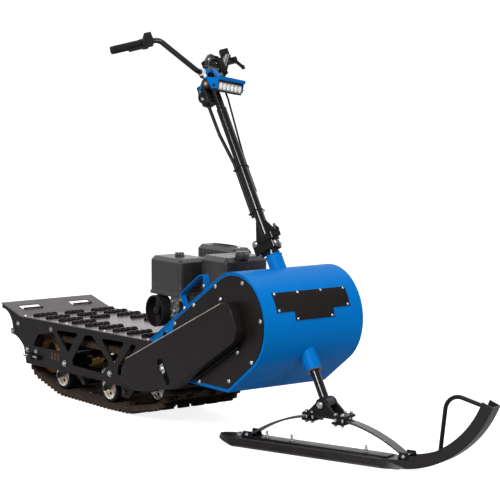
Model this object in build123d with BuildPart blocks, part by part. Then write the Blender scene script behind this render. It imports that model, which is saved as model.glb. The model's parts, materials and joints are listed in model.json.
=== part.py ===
"""Compact stand-on snowmobile: blue drum hull, open engine, one track, one steered ski.

Millimetres, +X forward, +Y left, +Z up, ground at Z 0.
"""

import os
from math import atan2, cos, degrees, hypot, radians, sin, tan

from build123d import *

os.makedirs("parts", exist_ok=True)

# Where the hull's axis and the centre plane lie in the shared frame.
HULL_X, CENTRE_Y, HULL_Z = 437.0, 54.0, 490.0

# Hull: a U-bent sheet, half round in front, with a sloping chin and a flat floor.
HULL_R, SHEET, HULL_HALF = 195.0, 4.0, 233.0
CHIN_SLOPE, BACK_SLOPE = 35.5, 31.7
FLOOR_Z, FLOOR_REAR = 221.0, -485.0
PANEL_Y, PANEL_T, COVER_T = 226.0, 4.0, 5.0
PANEL_REAR_X, PANEL_REAR_Z = -582.0, 290.0

# Deck and side frames.
DECK_HALF, DECK_T = 239.0, 4.0
DECK_REAR, DECK_FRONT, DECK_REAR_Z, DECK_FRONT_Z = -1647.0, -583.0, 331.0, 353.0
TAIL_REAR, TAIL_REAR_Z = -1819.0, 372.0
FRAME_Y, FRAME_T = 230.0, 5.0

# Track loop: sprocket and roller circles that the belt runs around.
TRACK_HALF, BELT_T, LUG_H, LUG_T, LUG_PITCH = 190.0, 8.0, 22.0, 16.0, 60.0
ROLLER_R, ROLLER_Z, FRONT_LIFT = 64.0, 94.0, 6.0
DRIVE_X, DRIVE_Z, DRIVE_R = -640.0, 167.0, 88.0
IDLER_X, IDLER_Z, IDLER_R = -1555.0, 158.0, 85.0
RUN = 915.0


def along(x):
    """Place along the track that keeps its share of the run from idler to drive."""
    return IDLER_X + (x + 1555.0) * (DRIVE_X - IDLER_X) / RUN


ROLLER_REAR, ROLLER_INNER, ROLLER_MID, ROLLER_FRONT = along(-1380), along(-1160), along(-992), along(-830)

# Steering: raked axis through the hull, stored turned to the left.
RAKE, TURN = 32.0, 22.0
KNUCKLE_X, KNUCKLE_Z = 262.9, 200.0
HEAD_LOW, HEAD_TOP, HEAD_R, HEAD_BORE = 136.0, 621.0, 32.0, 23.0
SHAFT_R, COLUMN_R = 18.0, 20.0
FOLD_S, FOLD_N = 690.0, -46.0
BAR_S, BAR_TILT = 1440.0, 5.0

# Ski, level on the ground, in its own frame at the knuckle bolt.
SKI_HALF, SKI_DECK, SKI_DRAFT, SKI_T, SKI_FLOOR = 60.0, 33.0, 20.0, 4.0, -KNUCKLE_Z
SKI_TAIL, SKI_KICK, SKI_BEND = -500.0, -388.0, 316.0
NOSE_HALF, NOSE_DEEP, NOSE_R, NOSE_START, NOSE_TURN = 30.0, 45.0, 425.0, 2.5, 68.0
SPRING_REAR, SPRING_FRONT, SPRING_TOP, SPRING_T, SPRING_HALF = SKI_KICK + 55, SKI_BEND + 34, -44.4, 8.0, 22.0


def side(y):
    """Side-view plane: x forward of the hull axis, y up from the ground, facing right."""
    return Plane(origin=(HULL_X, CENTRE_Y + y, 0), x_dir=(1, 0, 0), z_dir=(0, -1, 0))


def flat(x, y, z):
    """Level plane: x forward, y left."""
    return Plane(origin=(HULL_X + x, CENTRE_Y + y, z), x_dir=(1, 0, 0), z_dir=(0, 0, 1))


def facing(x, y, z):
    """Plane across the machine, facing forward: x left, y up."""
    return Plane(origin=(HULL_X + x, CENTRE_Y + y, z), x_dir=(0, 1, 0), z_dir=(1, 0, 0))


AXIS = Vector(-sin(radians(RAKE)), 0, cos(radians(RAKE)))
AHEAD_0 = Vector(cos(radians(RAKE)), 0, sin(radians(RAKE)))
LEFT_0 = Vector(0, 1, 0)
AHEAD = AHEAD_0 * cos(radians(TURN)) + LEFT_0 * sin(radians(TURN))
LEFT = LEFT_0 * cos(radians(TURN)) - AHEAD_0 * sin(radians(TURN))
KNUCKLE = Vector(HULL_X + KNUCKLE_X, CENTRE_Y, KNUCKLE_Z)


def at_steer(s, n, l):
    """Point s up the steering axis, n ahead of it and l to its left."""
    return KNUCKLE + AXIS * s + AHEAD * n + LEFT * l


def steer(s, n=0.0, l=0.0):
    """Plane square to the steering axis: x ahead, y left."""
    return Plane(origin=at_steer(s, n, l), x_dir=AHEAD, z_dir=AXIS)


def steer_side(l):
    """Plane in which the steering folds: x ahead, y up the axis, facing right."""
    return Plane(origin=at_steer(0, 0, l), x_dir=AHEAD, z_dir=LEFT * -1)


def steer_front(n):
    """Plane facing ahead of the steering: x left, y up the axis."""
    return Plane(origin=at_steer(0, n, 0), x_dir=LEFT, z_dir=AHEAD)


SKI_AHEAD = LEFT.cross(Vector(0, 0, 1)).normalized()
SKI_LEFT = Vector(0, 0, 1).cross(SKI_AHEAD)


def ski_side(l):
    """Side-view plane of the ski: x ahead, y up, facing right."""
    return Plane(origin=KNUCKLE + SKI_LEFT * l, x_dir=SKI_AHEAD, z_dir=SKI_LEFT * -1)


def ski_flat(x, l, z):
    """Level plane of the ski: x ahead, y left."""
    origin = KNUCKLE + SKI_AHEAD * x + SKI_LEFT * l + Vector(0, 0, z)
    return Plane(origin=origin, x_dir=SKI_AHEAD, z_dir=(0, 0, 1))


def hull_points(inset):
    """Chin corner, chin tangent and back tangent of the hull's outline at an inset."""
    r = HULL_R - inset
    low = (r * sin(radians(CHIN_SLOPE)), HULL_Z - r * cos(radians(CHIN_SLOPE)))
    floor = FLOOR_Z + inset
    corner = (low[0] - (low[1] - floor) / tan(radians(CHIN_SLOPE)), floor)
    back = (-r * sin(radians(BACK_SLOPE)), HULL_Z + r * cos(radians(BACK_SLOPE)))
    return corner, low, back


def back_line(inset, x):
    """Point on the hull's sloping back line at an inset."""
    back = hull_points(inset)[2]
    return (x, back[1] + (x - back[0]) * tan(radians(BACK_SLOPE)))


def hull_arc(inset):
    """The round front, from the chin up to the back."""
    CenterArc((0, HULL_Z), HULL_R - inset, CHIN_SLOPE - 90, 180 - CHIN_SLOPE + BACK_SLOPE)


# Hull sheet
corner, chin, crown = hull_points(0)
corner_in, chin_in, crown_in = hull_points(SHEET)
with BuildPart() as hull_shell:
    with BuildSketch(side(0)):
        with BuildLine():
            Polyline((FLOOR_REAR, FLOOR_Z), corner, chin)
            hull_arc(0)
            Line(crown, crown_in)
            hull_arc(SHEET)
            Polyline(chin_in, corner_in, (FLOOR_REAR, FLOOR_Z + SHEET), (FLOOR_REAR, FLOOR_Z))
        make_face()
    extrude(amount=HULL_HALF, both=True)
    with BuildSketch(steer(0)):
        Circle(HEAD_R)
    extrude(amount=800, mode=Mode.SUBTRACT)
hull_shell.part.label = "hull_shell"
export_step(hull_shell.part, "parts/hull_shell.step")

# Blue side panels with a flange along the sloping back
panel_rear_top = back_line(SHEET, PANEL_REAR_X)
for name, hand in (("right", -1), ("left", 1)):
    face_y = -PANEL_Y if hand < 0 else PANEL_Y + PANEL_T
    with BuildPart() as side_panel:
        with BuildSketch(side(face_y)):
            with BuildLine():
                hull_arc(SHEET)
                Polyline(crown_in, panel_rear_top, (PANEL_REAR_X, PANEL_REAR_Z), (FLOOR_REAR, PANEL_REAR_Z))
                Polyline((FLOOR_REAR, PANEL_REAR_Z), (FLOOR_REAR, FLOOR_Z + SHEET), corner_in, chin_in)
            make_face()
        extrude(amount=PANEL_T)
        with BuildSketch(side(hand * (HULL_HALF + 203) / 2)):
            with BuildLine():
                Polyline(crown, back_line(0, PANEL_REAR_X), panel_rear_top, crown_in, close=True)
            make_face()
        extrude(amount=15, both=True)
        with BuildSketch(side(face_y)):
            with Locations((-482, 385)):
                SlotOverall(44, 24, rotation=60)
        extrude(amount=PANEL_T, mode=Mode.SUBTRACT)
    side_panel.part.label = f"side_panel_{name}"
    export_step(side_panel.part, f"parts/side_panel_{name}.step")

# Black cover plates inside the blue rims
corner_c, chin_c, crown_c = hull_points(13)
for name, hand in (("right", -1), ("left", 1)):
    face_y = -PANEL_Y - PANEL_T if hand < 0 else PANEL_Y + PANEL_T + COVER_T
    with BuildPart() as cover:
        with BuildSketch(side(face_y)):
            with BuildLine():
                hull_arc(13)
                Polyline(crown_c, back_line(13, -400), (-418, 416), (-262, FLOOR_Z + 13), corner_c, chin_c)
            make_face()
        extrude(amount=COVER_T)
    cover.part.label = f"cover_{name}"
    export_step(cover.part, f"parts/cover_{name}.step")

# Drive case on the right side
CASE_IN, CASE_OUT = FRAME_Y + FRAME_T, 285.0
with BuildPart() as drive_case:
    with BuildSketch(side(-CASE_IN)):
        with BuildLine():
            Polyline(
                (30, 591), (-688, 269), (-735, 187), (-621, 146), (-369, 189), (-226, 262), (90, 446),
                close=True,
            )
        make_face()
        fillet(vertices().group_by(Axis.X)[-1] + vertices().group_by(Axis.X)[-2], 52)
    extrude(amount=CASE_OUT - CASE_IN)
    chamfer(faces().sort_by(Axis.Y)[0].edges(), 3)
    with BuildSketch(side(-CASE_OUT)):
        with Locations((-414, 255)):
            SlotOverall(112, 26, rotation=-48)
    extrude(amount=-14, mode=Mode.SUBTRACT)
drive_case.part.label = "drive_case"
export_step(drive_case.part, "parts/drive_case.step")

# Bare plate on the drum's front, stepped at its lower edge
PLATE_T = 3.0
with BuildPart() as front_plate:
    for half, low, high in ((173, 16.8, 40.0), (91, 6.5, 16.8)):
        with BuildSketch(side(0)):
            with BuildLine():
                CenterArc((0, HULL_Z), HULL_R, low, high - low)
                CenterArc((0, HULL_Z), HULL_R + PLATE_T, low, high - low)
                for a in (low, high):
                    c, s = cos(radians(a)), sin(radians(a))
                    Line(
                        (HULL_R * c, HULL_Z + HULL_R * s),
                        ((HULL_R + PLATE_T) * c, HULL_Z + (HULL_R + PLATE_T) * s),
                    )
            make_face()
        extrude(amount=half, both=True)
front_plate.part.label = "front_plate"
export_step(front_plate.part, "parts/front_plate.step")

# Steering head tube through the drum
with BuildPart() as steering_tube:
    with BuildSketch(steer(HEAD_LOW)):
        Circle(HEAD_R)
        Circle(HEAD_BORE, mode=Mode.SUBTRACT)
    extrude(amount=HEAD_TOP - HEAD_LOW)
steering_tube.part.label = "steering_tube"
export_step(steering_tube.part, "parts/steering_tube.step")

# Blue strap handle on the right back edge
STRAP = (
    # x forward, rise above the hull's sloping back line
    (-335, -12.3), (-375, 74.4), (-242, 80.3), (-210, 65.5), (-198, -6.9),
)
with BuildPart() as strap_handle:
    with BuildSketch(side(-205)):
        with BuildLine():
            Polyline(*((x, back_line(0, x)[1] + rise) for x, rise in STRAP))
            offset(amount=4, side=Side.RIGHT)
        make_face()
        with BuildSketch(mode=Mode.SUBTRACT):
            with BuildLine():
                low = back_line(0, -600)[1] - 200
                Polyline(back_line(0, -600), back_line(0, 0), (0, low), (-600, low), close=True)
            make_face()
    extrude(amount=25)
strap_handle.part.label = "strap_handle"
export_step(strap_handle.part, "parts/strap_handle.step")

# Side frames: laser-cut trusses
WINDOWS = (
    # corners of each opening, x forward and z up
    ((-1538, 207), (-1493, 264), (-1356, 288), (-1297, 214)),
    ((-1338, 303), (-1147, 312), (-1231, 218)),
    ((-1199, 190), (-1090, 311), (-1033, 315), (-898, 218), (-943, 167), (-1193, 166)),
    ((-961, 314), (-776, 321), (-858, 222)),
    (
        (-717, 321), (-682, 317), (-757, 250), (-800, 210),
        (-802, 172), (-832, 180), (-824, 214), (-765, 273),
    ),
)
for name, hand in (("right", -1), ("left", 1)):
    face_y = -FRAME_Y if hand < 0 else FRAME_Y + FRAME_T
    with BuildPart() as side_frame:
        with BuildSketch(side(face_y)):
            with BuildLine():
                Polyline(
                    (TAIL_REAR, TAIL_REAR_Z - 26), (TAIL_REAR, TAIL_REAR_Z - DECK_T - 0.4),
                    (DECK_REAR, DECK_REAR_Z - DECK_T - 0.4), (DECK_FRONT, DECK_FRONT_Z - DECK_T - 0.1),
                    (-490, 349), (-490, 205), (-560, 150), (DRIVE_X, 135), (along(-963), 136),
                    (along(-1262), 132), (IDLER_X - 47, 124), (IDLER_X - 68, 195),
                )
                ThreePointArc((IDLER_X - 68, 195), (IDLER_X - 103, 220), (IDLER_X - 146, 237))
                Polyline(
                    (IDLER_X - 146, 237), (IDLER_X - 185, 239), (IDLER_X - 186, 262), (IDLER_X - 166, 266),
                )
                ThreePointArc(
                    (IDLER_X - 166, 266), ((IDLER_X + TAIL_REAR - 130) / 2, 325),
                    (TAIL_REAR, TAIL_REAR_Z - 26),
                )
            make_face()
            for corners in WINDOWS:
                with BuildSketch(mode=Mode.SUBTRACT):
                    with BuildLine():
                        Polyline(*((along(x), z) for x, z in corners), close=True)
                    make_face()
                    fillet(vertices(), 6)
        extrude(amount=FRAME_T)
    side_frame.part.label = f"side_frame_{name}"
    export_step(side_frame.part, f"parts/side_frame_{name}.step")

# Deck with raised cleats
DECK_TILT = degrees(atan2(DECK_FRONT_Z - DECK_REAR_Z, DECK_FRONT - DECK_REAR))
CLEAT_PITCH, CLEAT_FIRST, CLEAT_R = 111.7, 75.0, 12.0
CLEATS = (
    # centre y, length, share of the deck's length that the row fills
    (-150, 112, 1.0),
    (150, 112, 1.0),
    (0, 90, 0.32),
)
deck_plane = Plane(
    origin=(HULL_X + DECK_REAR, CENTRE_Y, DECK_REAR_Z),
    x_dir=(cos(radians(DECK_TILT)), 0, sin(radians(DECK_TILT))),
    z_dir=(-sin(radians(DECK_TILT)), 0, cos(radians(DECK_TILT))),
)
deck_length = hypot(DECK_FRONT - DECK_REAR, DECK_FRONT_Z - DECK_REAR_Z)
with BuildPart() as deck:
    with BuildSketch(deck_plane):
        with Locations((deck_length / 2, 0)):
            Rectangle(deck_length, 2 * DECK_HALF)
    extrude(amount=-DECK_T)
    for y, length, share in CLEATS:
        for i in range(int((deck_length * share - CLEAT_FIRST - CLEAT_R) / CLEAT_PITCH) + 1):
            x = CLEAT_FIRST + CLEAT_PITCH * i
            across = Plane(
                origin=deck_plane.from_local_coords((x, y - length / 2, 0)),
                x_dir=deck_plane.x_dir,
                z_dir=(0, 1, 0),
            )
            with BuildSketch(across):
                Circle(CLEAT_R)
                with Locations((0, CLEAT_R)):
                    Rectangle(4 * CLEAT_R, 2 * CLEAT_R, mode=Mode.SUBTRACT)
            extrude(amount=length)
deck.part.label = "deck"
export_step(deck.part, "parts/deck.step")

# Tail plate with two hand slots
TAIL_TILT = degrees(atan2(TAIL_REAR_Z - DECK_REAR_Z, DECK_REAR - TAIL_REAR))
tail_plane = Plane(
    origin=(HULL_X + DECK_REAR, CENTRE_Y, DECK_REAR_Z),
    x_dir=(cos(radians(TAIL_TILT)), 0, -sin(radians(TAIL_TILT))),
    z_dir=(sin(radians(TAIL_TILT)), 0, cos(radians(TAIL_TILT))),
)
tail_length = hypot(DECK_REAR - TAIL_REAR, TAIL_REAR_Z - DECK_REAR_Z)
with BuildPart() as tail_plate:
    with BuildSketch(tail_plane):
        with Locations((-tail_length / 2, 0)):
            Rectangle(tail_length, 2 * DECK_HALF)
        with Locations((-tail_length * 0.55, -130), (-tail_length * 0.55, 130)):
            RectangleRounded(52, 104, 6, mode=Mode.SUBTRACT)
    extrude(amount=-DECK_T)
tail_plate.part.label = "tail_plate"
export_step(tail_plate.part, "parts/tail_plate.step")

# Rear tow bar between the frames' lugs
TOW_X, TOW_Z, TOW_R = IDLER_X - 164.0, 251.5, 12.0
with BuildPart() as tow_bar:
    with BuildSketch(side(0)):
        with Locations((TOW_X, TOW_Z)):
            Circle(TOW_R)
    extrude(amount=FRAME_Y, both=True)
tow_bar.part.label = "tow_bar"
export_step(tow_bar.part, "parts/tow_bar.step")

# Track: belt around the sprockets and rollers, with lugs across it
LOOP = (
    # x, z, radius, in the order the belt meets them
    (IDLER_X, IDLER_Z, IDLER_R),
    (ROLLER_REAR, ROLLER_Z, ROLLER_R),
    (ROLLER_MID, ROLLER_Z, ROLLER_R),
    (ROLLER_FRONT, ROLLER_Z + FRONT_LIFT, ROLLER_R),
    (DRIVE_X, DRIVE_Z, DRIVE_R),
)


def loop_runs(grow):
    """Straight runs of a belt around the loop's circles, each as (start, end, outward angle)."""
    runs = []
    for (xa, za, ra), (xb, zb, rb) in zip(LOOP, LOOP[1:] + LOOP[:1]):
        angle = atan2(zb - za, xb - xa) - radians(90) + asin_ratio(ra - rb, hypot(xb - xa, zb - za))
        c, s = cos(angle), sin(angle)
        start = (xa + (ra + grow) * c, za + (ra + grow) * s)
        end = (xb + (rb + grow) * c, zb + (rb + grow) * s)
        runs.append((start, end, angle))
    return runs


def asin_ratio(a, b):
    """Angle whose sine is a over b."""
    return atan2(a, (b * b - a * a) ** 0.5)


def loop_wire(grow):
    """Closed outline of the belt at a distance outside the circles."""
    runs = loop_runs(grow)
    after = runs[1:] + runs[:1]
    for (start, end, angle), (following, _, turned), (x, z, r) in zip(runs, after, LOOP[1:] + LOOP[:1]):
        Line(start, end)
        sweep_deg = (degrees(turned) - degrees(angle)) % 360
        middle = angle + radians(sweep_deg / 2)
        ThreePointArc(end, (x + (r + grow) * cos(middle), z + (r + grow) * sin(middle)), following)


def loop_places(grow, count):
    """Evenly spaced places along the belt, each as (x, z, outward angle in degrees)."""
    runs = loop_runs(grow)
    pieces = []
    after = runs[1:] + runs[:1]
    for (start, end, angle), (_, _, turned), (x, z, r) in zip(runs, after, LOOP[1:] + LOOP[:1]):
        pieces.append((hypot(end[0] - start[0], end[1] - start[1]), start, end, angle, None))
        sweep = radians((degrees(turned) - degrees(angle)) % 360)
        pieces.append(((r + grow) * sweep, (x, z), r + grow, angle, sweep))
    total = sum(piece[0] for piece in pieces)
    places = []
    for i in range(count):
        left = total * i / count
        for length, first, second, angle, sweep in pieces:
            if left > length:
                left -= length
                continue
            share = left / length
            if sweep is None:
                x = first[0] + (second[0] - first[0]) * share
                z = first[1] + (second[1] - first[1]) * share
                places.append((x, z, degrees(angle)))
            else:
                a = angle + sweep * share
                places.append((first[0] + second * cos(a), first[1] + second * sin(a), degrees(a)))
            break
    return total, places


LUG_COUNT = round(loop_places(BELT_T, 1)[0] / LUG_PITCH)
with BuildPart() as track:
    with BuildSketch(side(0)):
        with BuildLine():
            loop_wire(BELT_T)
        make_face()
        with BuildSketch(mode=Mode.SUBTRACT):
            with BuildLine():
                loop_wire(0)
            make_face()
        for x, z, a in loop_places(BELT_T, LUG_COUNT)[1]:
            with Locations((x + (LUG_H / 2 - 2) * cos(radians(a)), z + (LUG_H / 2 - 2) * sin(radians(a)))):
                Rectangle(LUG_H + 4, LUG_T, rotation=a)
    extrude(amount=TRACK_HALF, both=True)
track.part.label = "track"
export_step(track.part, "parts/track.step")

# Drive axle with two sprockets
with BuildPart() as drive_axle:
    with BuildSketch(side(0)):
        with Locations((DRIVE_X, DRIVE_Z)):
            Circle(16)
    extrude(amount=FRAME_Y, both=True)
    for y in (-100, 100):
        with BuildSketch(side(y)):
            with Locations((DRIVE_X, DRIVE_Z)):
                Circle(DRIVE_R)
        extrude(amount=14, both=True)
drive_axle.part.label = "drive_axle"
export_step(drive_axle.part, "parts/drive_axle.step")

# Rear idler: axle in the frames' slots, two ring wheels with hubs
with BuildPart() as idler_axle:
    with BuildSketch(side(0)):
        with Locations((IDLER_X, IDLER_Z)):
            Circle(12)
    extrude(amount=FRAME_Y, both=True)
idler_axle.part.label = "idler_axle"
export_step(idler_axle.part, "parts/idler_axle.step")
with BuildPart() as idler_wheels:
    for y in (-115, 115):
        with BuildSketch(side(y)):
            with Locations((IDLER_X, IDLER_Z)):
                Circle(IDLER_R)
                Circle(40, mode=Mode.SUBTRACT)
        extrude(amount=18, both=True)
        with BuildSketch(side(y)):
            with Locations((IDLER_X, IDLER_Z)):
                Circle(42)
                Circle(12, mode=Mode.SUBTRACT)
        extrude(amount=5, both=True)
idler_wheels.part.label = "idler_wheels"
export_step(idler_wheels.part, "parts/idler_wheels.step")

# Road wheels
WHEELS = (
    # x and z of the axle, y of the wheel's middle
    (ROLLER_REAR, ROLLER_Z, 158),
    (ROLLER_INNER, ROLLER_Z, 65),
    (ROLLER_MID, ROLLER_Z, 158),
    (ROLLER_FRONT, ROLLER_Z + FRONT_LIFT, 22),
)
RIM_R, WHEEL_HALF, HUB_R, AXLE_R = 50.0, 18.0, 20.0, 10.0
with BuildPart() as road_tyres:
    for x, z, y in WHEELS:
        for hand in (-1, 1):
            with BuildSketch(side(hand * y)):
                with Locations((x, z)):
                    Circle(ROLLER_R)
                    Circle(RIM_R, mode=Mode.SUBTRACT)
            extrude(amount=WHEEL_HALF, both=True)
road_tyres.part.label = "road_tyres"
export_step(road_tyres.part, "parts/road_tyres.step")
with BuildPart() as road_rims:
    for x, z, y in WHEELS:
        for hand in (-1, 1):
            for outer, inner, half in (
                (RIM_R, RIM_R - 10, WHEEL_HALF - 2), (RIM_R - 8, AXLE_R, 4), (HUB_R, AXLE_R, 14),
            ):
                with BuildSketch(side(hand * y)):
                    with Locations((x, z)):
                        Circle(outer)
                        Circle(inner, mode=Mode.SUBTRACT)
                extrude(amount=half, both=True)
road_rims.part.label = "road_rims"
export_step(road_rims.part, "parts/road_rims.step")
with BuildPart() as wheel_axles:
    for x, z, y in WHEELS:
        with BuildSketch(side(0)):
            with Locations((x, z)):
                Circle(AXLE_R)
        extrude(amount=205, both=True)
wheel_axles.part.label = "wheel_axles"
export_step(wheel_axles.part, "parts/wheel_axles.step")

# Swing arms from the pivot tubes to the wheel axles
PIVOTS = ((along(-1260), 166), (along(-888), 174))
ARMS = (
    # pivot, axle x
    (PIVOTS[0], ROLLER_REAR),
    (PIVOTS[0], ROLLER_INNER),
    (PIVOTS[1], ROLLER_MID),
)
PIVOT_R, ARM_Y, ARM_T, ARM_W = 16.0, 190.0, 10.0, 46.0
with BuildPart() as pivot_tubes:
    for x, z in PIVOTS:
        with BuildSketch(side(0)):
            with Locations((x, z)):
                Circle(PIVOT_R)
        extrude(amount=FRAME_Y, both=True)
pivot_tubes.part.label = "pivot_tubes"
export_step(pivot_tubes.part, "parts/pivot_tubes.step")
with BuildPart() as swing_arms:
    for hand in (-1, 1):
        for (px, pz), ax in ARMS:
            reach = hypot(px - ax, pz - ROLLER_Z)
            with BuildSketch(side(hand * (ARM_Y + ARM_T / 2))):
                with Locations(((px + ax) / 2, (pz + ROLLER_Z) / 2)):
                    SlotOverall(reach + ARM_W, ARM_W, rotation=degrees(atan2(pz - ROLLER_Z, px - ax)))
            extrude(amount=ARM_T / 2, both=True)
        for (px, pz), ax in ARMS:
            with BuildSketch(side(hand * (ARM_Y + ARM_T / 2))):
                with Locations((px, pz)):
                    Circle(PIVOT_R)
                with Locations((ax, ROLLER_Z)):
                    Circle(AXLE_R)
            extrude(amount=ARM_T, both=True, mode=Mode.SUBTRACT)
swing_arms.part.label = "swing_arms"
export_step(swing_arms.part, "parts/swing_arms.step")
HANGER_X, HANGER_Z = ROLLER_FRONT + 110, 225.0
with BuildPart() as front_hangers:
    for hand in (-1, 1):
        with BuildSketch(side(hand * (ARM_Y + ARM_T / 2))):
            with BuildLine():
                Polyline(
                    (ROLLER_FRONT - 25, ROLLER_Z - 16), (ROLLER_FRONT + 31, ROLLER_Z - 16),
                    (HANGER_X + 22, HANGER_Z - 50), (HANGER_X + 22, HANGER_Z + 20),
                    (HANGER_X - 22, HANGER_Z + 20), (ROLLER_FRONT - 25, ROLLER_Z + 26), close=True,
                )
            make_face()
            with Locations((ROLLER_FRONT, ROLLER_Z + FRONT_LIFT)):
                Circle(AXLE_R, mode=Mode.SUBTRACT)
        extrude(amount=ARM_T / 2, both=True)
        with BuildSketch(side(hand * (FRAME_Y + ARM_Y + ARM_T) / 2)):
            with Locations((HANGER_X, HANGER_Z)):
                Circle(14)
        extrude(amount=(FRAME_Y - ARM_Y - ARM_T) / 2, both=True)
front_hangers.part.label = "front_hangers"
export_step(front_hangers.part, "parts/front_hangers.step")

# Torsion springs around the pivot tubes
with BuildPart() as torsion_springs:
    for px, pz in PIVOTS:
        for y in (-80, 80):
            with BuildSketch(side(y)):
                with Locations((px, pz)):
                    Circle(27)
                    Circle(PIVOT_R, mode=Mode.SUBTRACT)
            extrude(amount=35, both=True)
torsion_springs.part.label = "torsion_springs"
export_step(torsion_springs.part, "parts/torsion_springs.step")

# Track adjusters on the frames' outer faces
with BuildPart() as adjusters:
    for hand in (-1, 1):
        outer = hand * (FRAME_Y + FRAME_T + 9)
        with BuildSketch(side(outer)):
            with Locations((IDLER_X + 10, IDLER_Z + 4)):
                Rectangle(40, 26)
        extrude(amount=9, both=True)
        with BuildSketch(facing(IDLER_X - 50, outer, IDLER_Z + 4)):
            Circle(5)
        extrude(amount=130)
        with BuildSketch(facing(IDLER_X - 46, outer, IDLER_Z + 4)):
            RegularPolygon(9, 6)
        extrude(amount=8)
adjusters.part.label = "adjusters"
export_step(adjusters.part, "parts/adjusters.step")

# Engine bed on the hull floor
BED_TOP = 255.0
with BuildPart() as engine_bed:
    for y in (-90, 90):
        with BuildSketch(flat(-330, y, FLOOR_Z + SHEET)):
            Rectangle(290, 40)
        extrude(amount=BED_TOP - FLOOR_Z - SHEET)
engine_bed.part.label = "engine_bed"
export_step(engine_bed.part, "parts/engine_bed.step")

# Engine: crankcase and leaning cylinder with fins
with BuildPart() as engine_block:
    with BuildSketch(side(-120)):
        with BuildLine():
            Polyline((-470, BED_TOP), (-190, BED_TOP), (-190, 480), (-230, 540), (-470, 540), close=True)
        make_face()
        fillet(vertices(), 14)
    extrude(amount=-240)
    lean = Plane(
        origin=(HULL_X - 455, CENTRE_Y + 40, 410),
        x_dir=(0, 1, 0),
        z_dir=(-cos(radians(10)), 0, sin(radians(10))),
    )
    with BuildSketch(lean):
        Rectangle(100, 84)
    extrude(amount=160)
    for i in range(7):
        with BuildSketch(lean.offset(30 + 17 * i)):
            RectangleRounded(150, 110, 14)
        extrude(amount=6)
engine_block.part.label = "engine_block"
export_step(engine_block.part, "parts/engine_block.step")

# Air filter box with its knob
FILTER_X, FILTER_Y = -632.0, -56.0
with BuildPart() as air_filter:
    with BuildSketch(flat(FILTER_X, FILTER_Y, 530)):
        RectangleRounded(224, 148, 20)
    extrude(amount=148)
    chamfer(faces().sort_by(Axis.Z)[-1].edges(), 16)
    with BuildSketch(flat(FILTER_X, FILTER_Y, 522)):
        RectangleRounded(232, 156, 22)
    extrude(amount=14)
    with BuildSketch(flat(FILTER_X, FILTER_Y, 670)):
        Circle(16)
    extrude(amount=24)
air_filter.part.label = "air_filter"
export_step(air_filter.part, "parts/air_filter.step")

# Carburettor and inlet under the filter
with BuildPart() as carburettor:
    with BuildSketch(flat(-575, -77, 400)):
        Rectangle(60, 84)
    extrude(amount=122)
    with BuildSketch(flat(-575, -80, 380)):
        Circle(26)
    extrude(amount=30)
carburettor.part.label = "carburettor"
export_step(carburettor.part, "parts/carburettor.step")

# Round guard ring below the filter, with its bar
RING_X, RING_Z, RING_R = -678.0, 455.0, 65.0
with BuildPart() as guard_ring:
    with BuildSketch(side(-100)):
        with Locations((RING_X, RING_Z)):
            Circle(RING_R)
            Circle(RING_R - 6, mode=Mode.SUBTRACT)
    extrude(amount=50)
    with BuildSketch(side(-100)):
        with Locations((RING_X, RING_Z)):
            Circle(RING_R)
    extrude(amount=6)
    with BuildSketch(side(-128)):
        with Locations((RING_X, RING_Z)):
            Rectangle(26, 2 * RING_R - 4)
    extrude(amount=8)
    with BuildSketch(flat(RING_X, -113, RING_Z + RING_R - 6)):
        Rectangle(30, 26)
    extrude(amount=522 - RING_Z - RING_R + 6)
guard_ring.part.label = "guard_ring"
export_step(guard_ring.part, "parts/guard_ring.step")

# Fuel tank with cap
TANK_X, TANK_Y = -392.0, 45.0
with BuildPart() as fuel_tank:
    with BuildSketch(flat(TANK_X, TANK_Y, 560)):
        RectangleRounded(188, 210, 24)
    extrude(amount=138)
    chamfer(faces().sort_by(Axis.Z)[-1].edges(), 18)
    with BuildSketch(flat(TANK_X, TANK_Y, 540)):
        RectangleRounded(196, 218, 26)
    extrude(amount=30)
    with BuildSketch(flat(-310, 28, 690)):
        Circle(26)
    extrude(amount=30)
fuel_tank.part.label = "fuel_tank"
export_step(fuel_tank.part, "parts/fuel_tank.step")

# Silencer on the engine's left, with its bracket on the crankcase
SILENCER_X, SILENCER_Y, SILENCER_Z = -631.0, 168.0, 545.0
with BuildPart() as silencer:
    with BuildSketch(flat(SILENCER_X, SILENCER_Y, SILENCER_Z)):
        RectangleRounded(278, 100, 28)
    extrude(amount=163)
    chamfer(faces().sort_by(Axis.Z)[-1].edges(), 16)
    with BuildSketch(flat(-508, 145, 470)):
        Rectangle(30, 50)
    extrude(amount=90)
    with BuildSketch(flat(-480, 135, 470)):
        Rectangle(80, 30)
    extrude(amount=64)
silencer.part.label = "silencer"
export_step(silencer.part, "parts/silencer.step")

# Steering shaft: leg, lower fold block and hinge lugs
with BuildPart() as steering_shaft:
    with BuildSketch(steer(14)):
        Circle(SHAFT_R)
    extrude(amount=FOLD_S - 40 - 14)
    with BuildSketch(ski_side(24)):
        Circle(26)
        Circle(9.3, mode=Mode.SUBTRACT)
    extrude(amount=48)
    with BuildSketch(steer(HEAD_TOP + 0.5)):
        Circle(28)
    extrude(amount=12)
    with BuildSketch(steer(FOLD_S - 46)):
        RectangleRounded(70, 54, 8)
    extrude(amount=30)
    for l in (-15, 27):
        with BuildSketch(steer_side(l)):
            with BuildLine():
                Polyline((FOLD_N - 14, FOLD_S), (FOLD_N - 14, FOLD_S - 46), (FOLD_N + 24, FOLD_S - 46),
                         (FOLD_N + 24, FOLD_S - 16), (FOLD_N + 14, FOLD_S), (FOLD_N - 14, FOLD_S))
            make_face()
            with Locations((FOLD_N, FOLD_S)):
                Circle(14)
        extrude(amount=12)
    with BuildSketch(steer_side(30)):
        with Locations((FOLD_N, FOLD_S)):
            Circle(7)
    extrude(amount=60)
steering_shaft.part.label = "steering_shaft"
export_step(steering_shaft.part, "parts/steering_shaft.step")

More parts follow.
